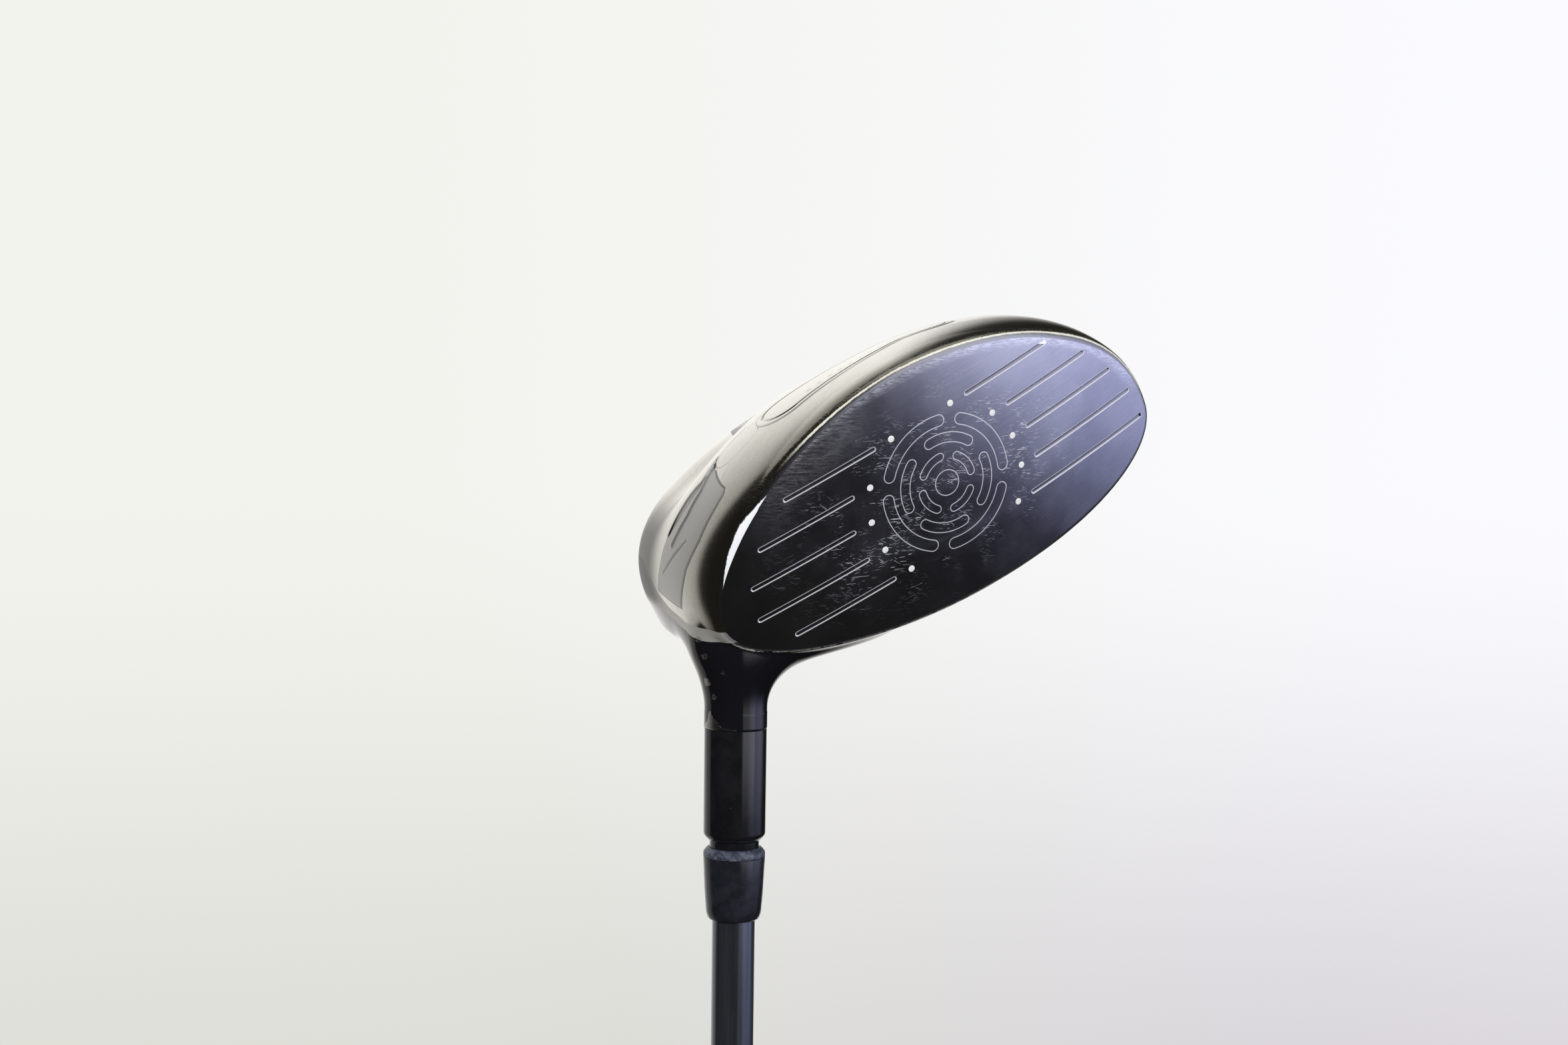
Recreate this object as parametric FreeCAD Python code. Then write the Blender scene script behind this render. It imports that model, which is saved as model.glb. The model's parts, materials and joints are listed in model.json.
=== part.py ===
import FreeCAD, Part
import math
import os

# Right-handed wood-type golf club with a removable, adjustable head, in millimetres.
#
# Row frame: the club stands as it does in a bag. The shaft axis is +Z, the butt of the grip is at
# the origin and the head is on top, sole up. The face looks along -Y and the toe points along +X.
#
# Head frame (used for everything in the head): the club at address. The origin is the centre of
# the face, x runs to the heel, y runs back from the face, z runs up towards the crown. In this
# frame the shaft axis leaves the heel upwards at the lie angle.

os.makedirs("parts", exist_ok=True)

V = FreeCAD.Vector

# ---------------------------------------------------------------- driving dimensions
CLUB_LENGTH = 1092.0          # butt to sole, along the shaft
LIE = 60.0                    # degrees between shaft axis and ground
LOFT = 15.0                   # degrees, face tilt
BULGE_RADIUS = 168.0          # horizontal face radius
ROLL_RADIUS = 293.0           # vertical face radius
AXIS_HEEL_OFFSET = 43.4       # shaft axis to face centre, along x at face-centre height
AXIS_BACK_OFFSET = 16.9       # shaft axis behind the face centre
SOLE_ON_AXIS = -31.0          # where the shaft axis meets the sole (along the axis, grip side +)

# Head sections, side by side: half size at the face edge, growth behind the edge, depth where the
# growth starts, length it takes, and power of the closing towards the rear tip
SIDES = {
    "toe": (50.6, 2.4, 9.0, 10.0, 2.4),
    "heel": (51.7, 4.0, 9.0, 9.0, 2.8),
    "sole": (32.7, 2.6, -5.5, 9.0, 2.8),
    "crown": (17.4, 3.6, 7.5, 14.0, 2.4),
}
CLOSING_START, CLOSING_ROUNDNESS = 22.0, 2.2
SOLE_RISE, SOLE_RISE_START, SOLE_RISE_POWER = 0.36, 10.0, 1.5
CROWN_DROP, CROWN_DROP_START, CROWN_DROP_POWER = 0.75, 20.0, 1.7
CORNER_POWERS = {"toe_crown": 2.15, "toe_sole": 2.0, "heel_sole": 1.8, "heel_crown": 1.9}
SOLE_SQUARING, SQUARING_LENGTH = 0.8, 45.0
EQUATOR_HEIGHT, EQUATOR_SKEW = 6.0, -0.06
HEAD_DEPTH = 86.0             # rear tip of the head, behind the face centre
SECTION_POINTS = 48
SECTION_DEPTHS = (-14, -6, -1, 4, 9, 14, 22, 32, 44, 56, 67, 75, 81, 84.5)

WALL = 0.9                    # cast body and crown wall
FACE_WALL = 2.0               # face thickness
CUP_RETURN = 9.0              # how far the face cup wraps back over crown and sole
CROWN_HOSEL_CLEARANCE = 17.0  # the crown stops this far from the hosel axis

# Pieces let into the sole: outlines in the head frame
HEEL_BADGE_OUTLINE = ((9.5, -20.0), (12.2, -15.0), (15.6, -9.0), (20.5, -2.8), (31.0, -7.5), (40.0, -13.0),
                      (42.0, -21.0), (34.0, -26.0), (22.5, -27.0), (13.0, -24.0))   # y, z seen from the heel
SOLE_PANEL_BACK, SOLE_PANEL_HALF_DEPTH, SOLE_PANEL_HALF_LENGTH = 15.5, 7.5, 24.0
BADGE_THICKNESS = 0.5
PORT_RADIUS = 4.4             # hole in the sole that the screw is reached through
PORT_RIM = 0.4                # body left between the heel badge and the port
CUP_HOSEL_CLEARANCE = 9.5     # the face cup stops this far from the hosel axis
WEIGHT_LENGTH, WEIGHT_DEPTH, WEIGHT_BACK, WEIGHT_THICKNESS = 44.0, 12.0, 30.0, 2.5
PAD_RADIUS, PAD_X, PAD_BACK, PAD_THICKNESS = 9.0, -33.0, 38.0, 1.5

# Score lines and sight dots, on the face
ROW_PITCH = 6.7
ROW_ZERO = -15.7              # height of the row nearest the sole, along the face
SCORE_HALF_WIDTH = 0.45
SCORE_DEPTH = 0.25
DOT_RING_RADIUS = 17.2
DOT_RADIUS = 0.65
SCORE_INNER_GAP = 3.6         # from the dot to the inner end of its score line
SCORE_OUTER = ((30.9, 31.9), (39.1, 39.6), (43.3, 44.3), (44.5, 47.3), (39.1, 48.6))  # heel, toe

# Hosel and adapter, all on the shaft axis; heights along the axis, grip side positive
HOSEL_RADIUS = 6.3
HOSEL_END = 26.2
# Hosel sections from the straight end into the heel: height, then reach to heel, toe, front and back
HOSEL_SECTIONS = (
    (HOSEL_END, HOSEL_RADIUS, HOSEL_RADIUS, HOSEL_RADIUS, HOSEL_RADIUS),
    (23.8, HOSEL_RADIUS, HOSEL_RADIUS, HOSEL_RADIUS, HOSEL_RADIUS),
    (21.5, HOSEL_RADIUS, HOSEL_RADIUS, HOSEL_RADIUS, HOSEL_RADIUS),
    (18.5, 6.8, 7.2, 6.5, 7.0),
    (15.5, 7.7, 9.8, 6.9, 8.8),
    (12.5, 8.9, 16.0, 7.2, 12.0),
    (9.5, 9.6, 27.0, 7.2, 16.0),
    (5.5, 9.4, 34.0, 6.4, 20.0),
    (0.5, 7.0, 36.0, 4.0, 20.0),
)
BORE_RADIUS = 4.9
MOUTH_RADIUS, MOUTH_DEPTH = 5.7, 4.2
TUBE_RADIUS = 6.0
TUBE_TOP = 8.0
TUBE_LOW = -10.0              # below this axis height the tube stays inside the sole skin
STEM_RADIUS = 4.85
STEM_END = -6.0
SLEEVE_RADIUS, SLEEVE_LENGTH = 6.2, 22.2
NECK_RADIUS, NECK_LENGTH = 4.95, 1.6
FERRULE_START = HOSEL_END + SLEEVE_LENGTH + NECK_LENGTH
FERRULE_TOP_RADIUS, FERRULE_END_RADIUS, FERRULE_LENGTH = 6.15, 5.5, 14.4
FERRULE_RING_LENGTH = 1.8
COG_TOOTH_COUNT, COG_RADIUS, COG_ROOT_RADIUS, COG_HEIGHT = 8, 5.6, 5.25, 3.6

# Fastening screw
SHANK_RADIUS, THREAD_BORE_RADIUS = 2.45, 2.5
SCREW_HEAD_RADIUS, SCREW_HEAD_HEIGHT = 4.1, 5.0
SEAT_TOP, SEAT_THICKNESS, SEAT_HOLE_RADIUS = -10.5, 2.5, 2.75
WASHER_THICKNESS, WASHER_RADIUS = 0.8, 4.3
SHANK_END = 1.5
RETAINER_GAP, RETAINER_THICKNESS, RETAINER_HOLE_RADIUS = 1.0, 1.0, 3.2
LOBE_COUNT, LOBE_RING_RADIUS, LOBE_RADIUS, DRIVE_DEPTH = 6, 1.9, 0.65, 3.0

# Shaft and grip
TIP_RADIUS, TIP_PARALLEL = 4.3, 120.0
BUTT_RADIUS = 7.6
SHAFT_WALL_TIP, SHAFT_WALL_BUTT = 1.3, 1.1
SHAFT_TIP_INSIDE = 4.5        # axis height of the shaft's tip end, inside the adapter
GRIP_LENGTH = 267.0
GRIP_BUTT_RADIUS, GRIP_MOUTH_RADIUS = 13.4, 10.0
GRIP_CAP_THICKNESS = 4.0
TAPE_THICKNESS = 0.4
TIP_PLUG_LENGTH = 12.0
GRIP_RING_COUNT, GRIP_RING_PITCH, GRIP_RING_DEPTH, GRIP_RING_WIDTH = 9, 22.0, 0.6, 1.2

AXIS_POINT_Z = CLUB_LENGTH + SOLE_ON_AXIS   # row height of the axis point level with the face centre
lie = math.radians(LIE)
SHAFT_DIR = V(math.cos(lie), 0, math.sin(lie))                 # towards the grip, head frame
AXIS_POINT = V(AXIS_HEEL_OFFSET, AXIS_BACK_OFFSET, 0)


# ---------------------------------------------------------------- frames
def head_to_row():
    """Matrix that takes the head frame at address to the row frame, shaft down, sole up."""
    c, s = math.cos(lie), math.sin(lie)
    m = FreeCAD.Matrix(-s, 0, c, 0, 0, 1, 0, 0, -c, 0, -s, 0, 0, 0, 0, 1)
    moved = m.multVec(AXIS_POINT)
    m.A14, m.A24, m.A34 = -moved.x, -moved.y, AXIS_POINT_Z - moved.z
    return m


HEAD_PLACEMENT = FreeCAD.Placement(head_to_row())


def into_row(shape):
    """Place a shape drawn in the head frame in the row frame."""
    placed = shape.copy()
    placed.Placement = HEAD_PLACEMENT.multiply(placed.Placement)
    return placed


def on_axis(height):
    """Row height of a point on the shaft axis, given its height in the head (grip side +)."""
    return AXIS_POINT_Z - height


def rod(radius, low, high):
    """Cylinder on the shaft axis in the row frame, between two heights given on the axis."""
    top, bottom = on_axis(min(low, high)), on_axis(max(low, high))
    return Part.makeCylinder(radius, top - bottom, V(0, 0, bottom))


def ring(outer, inner, low, high):
    return rod(outer, low, high).cut(rod(inner, low - 1, high + 1))


def turned(profile):
    """Solid turned about the row's Z axis from (radius, z) corner points."""
    points = [V(r, 0, z) for r, z in profile]
    face = Part.Face(Part.makePolygon(points + points[:1]))
    return face.revolve(V(0, 0, 0), V(0, 0, 1), 360)


# ---------------------------------------------------------------- head outer form
def settle(distance, length):
    """Rises from 0 towards 1 over the given length."""
    return 1 - math.exp(-max(distance, 0) / length)


def progress(depth, start):
    """Share of the way from a start depth to the rear tip."""
    return max(depth - start, 0) / (HEAD_DEPTH - start)


def half_size(side, depth):
    """Half size of the head section on one side, at a depth behind the face."""
    half, growth, start, length, power = SIDES[side]
    size = half + growth * settle(depth - start, length)
    if side == "sole":
        size *= 1 - SOLE_RISE * progress(depth, SOLE_RISE_START) ** SOLE_RISE_POWER
    if side == "crown":
        size *= 1 - CROWN_DROP * progress(depth, CROWN_DROP_START) ** CROWN_DROP_POWER
    return size * (1 - progress(depth, CLOSING_START) ** power) ** (1 / CLOSING_ROUNDNESS)


def corner_power(side, level, depth):
    """Superellipse exponent of one quadrant; the sole gets squarer towards the rear."""
    squaring = SOLE_SQUARING * min(max(depth, 0) / SQUARING_LENGTH, 1) if level == "sole" else 0
    return CORNER_POWERS[side + "_" + level] + squaring


def section_point(depth, angle, inset):
    """Point of the head section at an angle from the heel, shrunk by the inset on every side."""
    across, up = math.cos(angle), math.sin(angle)
    side = "heel" if across > 0 else "toe"
    level = "crown" if up > 0 else "sole"
    power = 2 / corner_power(side, level, depth)
    x = math.copysign((half_size(side, depth) - inset) * abs(across) ** power, across)
    rise = math.copysign((half_size(level, depth) - inset) * abs(up) ** power, up)
    return V(x, min(depth, SECTION_DEPTHS[-1] - inset), EQUATOR_HEIGHT + EQUATOR_SKEW * x + rise)


def closed_curve(points):
    curve = Part.BSplineCurve()
    curve.interpolate(Points=points, PeriodicFlag=True)
    return Part.Wire(curve.toShape())


def section_angles():
    return [2 * math.pi * (i + 0.5) / SECTION_POINTS for i in range(SECTION_POINTS)]


def head_loft(inset=0.0):
    """The head's outer form, or an inner form a wall thickness smaller."""
    wires = []
    for depth in SECTION_DEPTHS:
        wires.append(closed_curve([section_point(depth, angle, inset) for angle in section_angles()]))
    return Part.makeLoft(wires, True, False)


def face_depth(x, z):
    """Depth of the face surface: loft, bulge and roll."""
    slope = math.tan(math.radians(LOFT))
    return slope * z + x * x / (2 * BULGE_RADIUS) + z * z / (2 * ROLL_RADIUS) / math.cos(math.radians(LOFT))


def in_front_of_face(offset):
    """Solid holding everything in front of the face surface moved back by an offset."""
    rows = []
    for i in range(9):
        x = -72 + 18 * i
        rows.append([V(x, face_depth(x, z) + offset, z) for z in (-54, -36, -18, 0, 18, 36, 54)])
    surface = Part.BSplineSurface()
    surface.interpolate(rows)
    return surface.toShape().extrude(V(0, -80, 0))


def hosel_section(height, heel, toe, front, back):
    """Closed curve around the shaft axis with its own reach on each side, in the row frame."""
    points = []
    for angle in section_angles():
        across, deep = math.cos(angle), math.sin(angle)
        x = across * (toe if across > 0 else heel)
        y = deep * (back if deep > 0 else front)
        points.append(V(x, y, on_axis(height)))
    return closed_curve(points)


def hosel_outside():
    """Straight hosel and its flare into the heel, in the row frame."""
    return Part.makeLoft([hosel_section(*row) for row in HOSEL_SECTIONS], True, False)


def prism(points, low, high, plane):
    """Straight prism on an outline drawn in the head frame: plane 'xz', 'yz' or 'xy'."""
    place = {"xz": lambda a, b: V(a, low, b), "yz": lambda a, b: V(low, a, b), "xy": lambda a, b: V(a, b, low)}
    along = {"xz": V(0, 1, 0), "yz": V(1, 0, 0), "xy": V(0, 0, 1)}[plane]
    corners = [place[plane](a, b) for a, b in points]
    wire = Part.makePolygon(corners + corners[:1])
    return Part.Face(wire).extrude(along * (high - low))


# ---------------------------------------------------------------- head pieces
def main_solid(shape):
    """The largest solid of a shape, which leaves out slivers from the cuts."""
    return max(shape.Solids, key=lambda solid: solid.Volume)


def head_forms():
    """Outer form of the whole head and the form of the cavity inside it, in the row frame."""
    outer = into_row(head_loft().cut(in_front_of_face(0)))
    cavity = into_row(head_loft(WALL).cut(in_front_of_face(FACE_WALL)))
    return outer, cavity


def crown_region():
    """Everything above the equator in the head frame, clear of the hosel, in the row frame."""
    seam = EQUATOR_HEIGHT + 1.5
    outline = [(-80, seam - 80 * EQUATOR_SKEW), (80, seam + 80 * EQUATOR_SKEW), (80, 60), (-80, 60)]
    return into_row(prism(outline, -30, 100, "xz")).cut(rod(CROWN_HOSEL_CLEARANCE, -60, 60))


def score_line(x_inner, x_outer, height):
    """Cutter for one score line: a flat slot with round ends, straight along the face."""
    low, high = sorted((x_inner, x_outer))
    low, high = low + SCORE_HALF_WIDTH, high - SCORE_HALF_WIDTH
    z = height * math.cos(math.radians(LOFT))
    slot = Part.makeBox(high - low, 30, 2 * SCORE_HALF_WIDTH, V(low, -20, z - SCORE_HALF_WIDTH))
    for x in (low, high):
        slot = slot.fuse(Part.makeCylinder(SCORE_HALF_WIDTH, 30, V(x, -20, z), V(0, 1, 0)))
    return slot


def face_rows():
    """Height along the face, dot distance from the centre and outer ends (heel, toe) of each row."""
    for i, ends in enumerate(SCORE_OUTER):
        height = ROW_ZERO + i * ROW_PITCH
        yield height, math.sqrt(DOT_RING_RADIUS ** 2 - height ** 2), ends


def score_cutters():
    """All the score lines, cut no deeper than the score depth."""
    cutters = []
    for height, dot, (heel_end, toe_end) in face_rows():
        cutters.append(score_line(dot + SCORE_INNER_GAP, heel_end, height))
        cutters.append(score_line(-dot - SCORE_INNER_GAP, -toe_end, height))
    return into_row(Part.makeCompound(cutters).common(in_front_of_face(SCORE_DEPTH)))


def sight_dots():
    """Paint-filled dots on the ring, as short plugs let into the face."""
    dots = []
    for height, dot, _ in face_rows():
        z = height * math.cos(math.radians(LOFT))
        for x in (dot, -dot):
            dots.append(Part.makeCylinder(DOT_RADIUS, 40, V(x, -20, z), V(0, 1, 0)))
    layer = in_front_of_face(SCORE_DEPTH).cut(in_front_of_face(0))
    return into_row(Part.makeCompound(dots).common(layer))


def stadium(centre_y, half_height, half_length, low, high):
    """Upright slot form in the head frame, round at both ends, between two heights."""
    straight = half_length - half_height
    form = Part.makeBox(2 * straight, 2 * half_height, high - low, V(-straight, centre_y - half_height, low))
    for x in (-straight, straight):
        form = form.fuse(Part.makeCylinder(half_height, high - low, V(x, centre_y, low)))
    return form


def badge_layer(region, depth):
    """Outer skin of the head, a given depth thick, inside a region of the head frame."""
    skin = head_loft().cut(head_loft(depth))
    return into_row(main_solid(region.common(skin)))


def heel_badge_region():
    return prism(HEEL_BADGE_OUTLINE, 25, 75, "yz")


def sole_panel_region():
    return stadium(SOLE_PANEL_BACK, SOLE_PANEL_HALF_DEPTH, SOLE_PANEL_HALF_LENGTH, -45, -10)


def build_head():
    """Head pieces that the skin is divided into, and the pieces let into it."""
    outer, cavity = head_forms()
    port = rod(PORT_RADIUS, -60, TUBE_LOW)
    skin = outer.fuse(hosel_outside()).cut(cavity).cut(rod(TUBE_RADIUS, TUBE_LOW, TUBE_TOP)).cut(port)
    skin = skin.cut(rod(BORE_RADIUS, 0, HOSEL_END + 1)).cut(rod(MOUTH_RADIUS, HOSEL_END - MOUTH_DEPTH, HOSEL_END + 1))
    cup_region = into_row(in_front_of_face(CUP_RETURN)).cut(rod(CUP_HOSEL_CLEARANCE, -60, 60))
    crown_part = crown_region().cut(cup_region)
    badge = badge_layer(heel_badge_region(), BADGE_THICKNESS).cut(rod(PORT_RADIUS + PORT_RIM, -60, TUBE_LOW))
    panel = badge_layer(sole_panel_region(), BADGE_THICKNESS)
    dots = sight_dots()
    pieces = {
        "face_cup": main_solid(skin.common(cup_region).cut(score_cutters()).cut(dots)),
        "crown_shell": main_solid(skin.common(crown_part)),
        "body_shell": main_solid(skin.cut(cup_region).cut(crown_part).cut(badge).cut(panel)),
        "heel_badge": badge,
        "sole_panel": panel,
        "sight_dots": dots,
    }
    tube = ring(TUBE_RADIUS, BORE_RADIUS, -60, TUBE_TOP)
    tube = tube.fuse(ring(BORE_RADIUS + 0.2, SEAT_HOLE_RADIUS, SEAT_TOP - SEAT_THICKNESS, SEAT_TOP))
    sole_skin = outer.cut(cavity).common(rod(2 * TUBE_RADIUS, -60, TUBE_LOW))
    pieces["hosel_tube"] = main_solid(tube.common(outer).cut(sole_skin))
    pieces["port_cover"] = main_solid(port.common(sole_skin).cut(panel))
    return pieces


def sole_weight():
    """Weight pad welded inside the sole, behind the middle of the face."""
    block = Part.makeBox(WEIGHT_LENGTH, WEIGHT_DEPTH, 40, V(-WEIGHT_LENGTH / 2, WEIGHT_BACK, -45))
    inside = head_loft(WALL).common(block)
    keep = head_loft(WALL + WEIGHT_THICKNESS)
    return into_row(main_solid(inside.cut(keep)))


def damping_pad():
    """Pad of tacky glue low on the toe side, which quiets the head and trims its weight."""
    block = Part.makeCylinder(PAD_RADIUS, 40, V(PAD_X, PAD_BACK, -45))
    return into_row(main_solid(head_loft(WALL).common(block).cut(head_loft(WALL + PAD_THICKNESS))))


# ---------------------------------------------------------------- fastening
def fastening_screw():
    """Captive screw: head with a lobed drive towards the sole, shank towards the adapter."""
    under_head = SEAT_TOP - SEAT_THICKNESS - WASHER_THICKNESS
    head_end = under_head - SCREW_HEAD_HEIGHT
    screw = rod(SCREW_HEAD_RADIUS, head_end, under_head).fuse(rod(SHANK_RADIUS, under_head - 0.5, SHANK_END))
    drive = rod(LOBE_RING_RADIUS, head_end - 1, head_end + DRIVE_DEPTH)
    for i in range(LOBE_COUNT):
        angle = 2 * math.pi * i / LOBE_COUNT
        lobe = rod(LOBE_RADIUS, head_end - 1, head_end + DRIVE_DEPTH)
        lobe.translate(V(LOBE_RING_RADIUS * math.cos(angle), LOBE_RING_RADIUS * math.sin(angle), 0))
        drive = drive.fuse(lobe)
    return screw.cut(drive)


def screw_washer():
    top = SEAT_TOP - SEAT_THICKNESS
    return ring(WASHER_RADIUS, SEAT_HOLE_RADIUS, top - WASHER_THICKNESS, top)


def screw_retainer():
    """Snap ring that keeps the screw in the head; the wrench goes through it."""
    top = SEAT_TOP - SEAT_THICKNESS - WASHER_THICKNESS - SCREW_HEAD_HEIGHT - RETAINER_GAP
    return ring(BORE_RADIUS, RETAINER_HOLE_RADIUS, top - RETAINER_THICKNESS, top)


# ---------------------------------------------------------------- adapter, shaft and grip
def shaft_adapter():
    """Sleeve glued to the shaft: visible collar, thinner neck and the stem inside the hosel."""
    sleeve_end = HOSEL_END + SLEEVE_LENGTH
    adapter = rod(STEM_RADIUS, STEM_END, HOSEL_END + 1).fuse(rod(SLEEVE_RADIUS, HOSEL_END, sleeve_end))
    adapter = adapter.fuse(rod(NECK_RADIUS, sleeve_end - 1, sleeve_end + NECK_LENGTH))
    adapter = adapter.cut(rod(TIP_RADIUS, SHAFT_TIP_INSIDE, sleeve_end + NECK_LENGTH + 1))
    return adapter.cut(rod(THREAD_BORE_RADIUS, STEM_END - 1, SHANK_END + 1))


def cog_ring():
    """Toothed ring pressed on the stem under the collar; it sets the face angle."""
    low, high = HOSEL_END - COG_HEIGHT, HOSEL_END
    cog = ring(COG_RADIUS, STEM_RADIUS, low, high)
    for i in range(COG_TOOTH_COUNT):
        gap = Part.makeBox(2, 2.2, COG_HEIGHT + 2, V(COG_ROOT_RADIUS, -1.1, on_axis(high) - 1))
        gap.rotate(V(0, 0, 0), V(0, 0, 1), (i + 0.5) * 360 / COG_TOOTH_COUNT)
        cog = cog.cut(gap)
    return cog


def ferrule():
    """Tapered collar over the shaft below the adapter, with a rounded lower lip."""
    top = on_axis(FERRULE_START + FERRULE_RING_LENGTH)
    bottom = on_axis(FERRULE_START + FERRULE_LENGTH)
    lip = 1.2
    profile = [(TIP_RADIUS, top), (FERRULE_TOP_RADIUS, top), (FERRULE_END_RADIUS, bottom + lip),
               (FERRULE_END_RADIUS - 0.35 * lip, bottom + 0.3 * lip), (FERRULE_END_RADIUS - lip, bottom),
               (TIP_RADIUS, bottom)]
    return turned(profile)


def ferrule_ring():
    """Trim ring at the top of the ferrule, chamfered towards the neck."""
    top, bottom = on_axis(FERRULE_START), on_axis(FERRULE_START + FERRULE_RING_LENGTH)
    return turned([(TIP_RADIUS, top), (FERRULE_TOP_RADIUS - 0.7, top), (FERRULE_TOP_RADIUS, top - 0.8),
                   (FERRULE_TOP_RADIUS, bottom), (TIP_RADIUS, bottom)])


def shaft_radius(z):
    """Outside radius of the shaft at a row height: straight tip section, then an even taper."""
    tip_end = on_axis(SHAFT_TIP_INSIDE)
    taper_start = tip_end - TIP_PARALLEL
    share = max(taper_start - z, 0) / taper_start
    return TIP_RADIUS + (BUTT_RADIUS - TIP_RADIUS) * share


def shaft():
    """Tapered carbon tube from just inside the grip cap to the adapter."""
    tip, taper = on_axis(SHAFT_TIP_INSIDE), on_axis(SHAFT_TIP_INSIDE) - TIP_PARALLEL
    butt = GRIP_CAP_THICKNESS
    butt_radius = shaft_radius(butt)
    profile = [(TIP_RADIUS - SHAFT_WALL_TIP, tip), (TIP_RADIUS, tip), (TIP_RADIUS, taper),
               (butt_radius, butt), (butt_radius - SHAFT_WALL_BUTT, butt), (TIP_RADIUS - SHAFT_WALL_TIP, taper)]
    return turned(profile)


def tip_plug():
    """Small weight glued in the shaft's tip."""
    return rod(TIP_RADIUS - SHAFT_WALL_TIP, SHAFT_TIP_INSIDE, SHAFT_TIP_INSIDE + TIP_PLUG_LENGTH)


def grip_tape():
    """Tape wrapped round the butt of the shaft under the grip."""
    top, butt = GRIP_LENGTH - 6, GRIP_CAP_THICKNESS
    low, high = shaft_radius(butt), shaft_radius(top)
    return turned([(low, butt), (low + TAPE_THICKNESS, butt), (high + TAPE_THICKNESS, top), (high, top)])


def grip():
    """Rubber sleeve with an even taper, ring grooves and a rounded mouth."""
    butt, top = GRIP_CAP_THICKNESS, GRIP_LENGTH
    inner_low, inner_high = shaft_radius(butt) + TAPE_THICKNESS, shaft_radius(top) + TAPE_THICKNESS

    def outer(z):
        return GRIP_BUTT_RADIUS + (GRIP_MOUTH_RADIUS - GRIP_BUTT_RADIUS) * z / GRIP_LENGTH

    profile = [(inner_low, butt), (outer(butt), butt)]
    for i in range(GRIP_RING_COUNT):
        z = 45 + i * GRIP_RING_PITCH
        half = GRIP_RING_WIDTH / 2
        profile += [(outer(z), z - half), (outer(z) - GRIP_RING_DEPTH, z - half),
                    (outer(z) - GRIP_RING_DEPTH, z + half), (outer(z), z + half)]
    profile += [(outer(top), top - 2.5), (outer(top) - 0.6, top - 0.7), (outer(top) - 1.6, top), (inner_high, top)]
    return turned(profile)


def grip_cap():
    """End cap of the grip, with a rounded rim and a flat end."""
    rim, full = GRIP_BUTT_RADIUS - 1.6, GRIP_CAP_THICKNESS
    return turned([(0, 0), (rim, 0), (rim + 1.1, 0.45), (GRIP_BUTT_RADIUS, 1.6), (GRIP_BUTT_RADIUS, full), (0, full)])


# ---------------------------------------------------------------- build and write
def build():
    pieces = build_head()
    pieces["sole_weight"] = sole_weight()
    pieces["damping_pad"] = damping_pad()
    for make in (fastening_screw, screw_washer, screw_retainer, shaft_adapter, cog_ring, ferrule,
                 ferrule_ring, shaft, tip_plug, grip_tape, grip, grip_cap):
        pieces[make.__name__] = make()
    return pieces


for name, shape in build().items():
    box = shape.BoundBox
    print(f"{name:16s} valid {shape.isValid()} solids {len(shape.Solids)} volume {shape.Volume:10.1f}"
          f" z {box.ZMin:.1f} to {box.ZMax:.1f}")
    shape.exportStep(f"parts/{name}.step")
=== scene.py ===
import json
import math

import bmesh
import bpy
import numpy as np
from mathutils import Matrix, Vector


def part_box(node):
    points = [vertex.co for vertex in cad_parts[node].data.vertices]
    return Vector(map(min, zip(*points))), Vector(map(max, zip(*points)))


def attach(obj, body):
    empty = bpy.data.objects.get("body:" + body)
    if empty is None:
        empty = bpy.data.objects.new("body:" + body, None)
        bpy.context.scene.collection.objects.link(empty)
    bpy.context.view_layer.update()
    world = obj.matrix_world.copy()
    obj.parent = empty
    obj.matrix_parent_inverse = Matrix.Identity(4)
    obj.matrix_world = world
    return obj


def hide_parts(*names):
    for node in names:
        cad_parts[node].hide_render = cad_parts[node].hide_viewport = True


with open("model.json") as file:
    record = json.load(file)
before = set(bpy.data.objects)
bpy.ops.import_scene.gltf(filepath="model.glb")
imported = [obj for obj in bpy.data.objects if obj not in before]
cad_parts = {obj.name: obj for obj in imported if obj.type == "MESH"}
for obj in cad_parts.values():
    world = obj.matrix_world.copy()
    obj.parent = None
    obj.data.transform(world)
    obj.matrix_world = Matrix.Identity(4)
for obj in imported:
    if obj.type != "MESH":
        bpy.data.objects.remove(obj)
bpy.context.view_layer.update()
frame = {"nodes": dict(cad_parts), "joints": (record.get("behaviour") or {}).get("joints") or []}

# The visual model of a golf club. The CAD nodes give every place and size; the head is rebuilt here
# as one smooth implicit form, meshed finely, and split into the pieces that the CAD has.
#
# Head frame, in millimetres: origin at the face centre, x to the heel, y back, z up to the crown.
# Row frame: the frame of the CAD, shaft axis along Z, head on top, sole up.

MM = 0.001

# ---- frames
LIE, LOFT = math.radians(60), math.radians(15)
COS_LIE, SIN_LIE = math.cos(LIE), math.sin(LIE)
HEAD_TO_ROW = np.array([[-SIN_LIE, 0, COS_LIE], [0, 1, 0], [-COS_LIE, 0, -SIN_LIE]])
AXIS_POINT = np.array([43.4, 16.9, 0.0])
HEAD_INDEX = next(joint for joint in frame["joints"] if joint["name"] == "head_index")
AXIS_Z = HEAD_INDEX["pos_m"][2] / MM
OFFSET = np.array([0, 0, AXIS_Z]) - HEAD_TO_ROW @ AXIS_POINT


def to_row(points):
    """Head frame to row frame, both in millimetres."""
    return points @ HEAD_TO_ROW.T + OFFSET


def top_mm(node):
    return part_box(node)[1][2] / MM


def bottom_mm(node):
    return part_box(node)[0][2] / MM


def radius_mm(node):
    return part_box(node)[1][1] / MM


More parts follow.
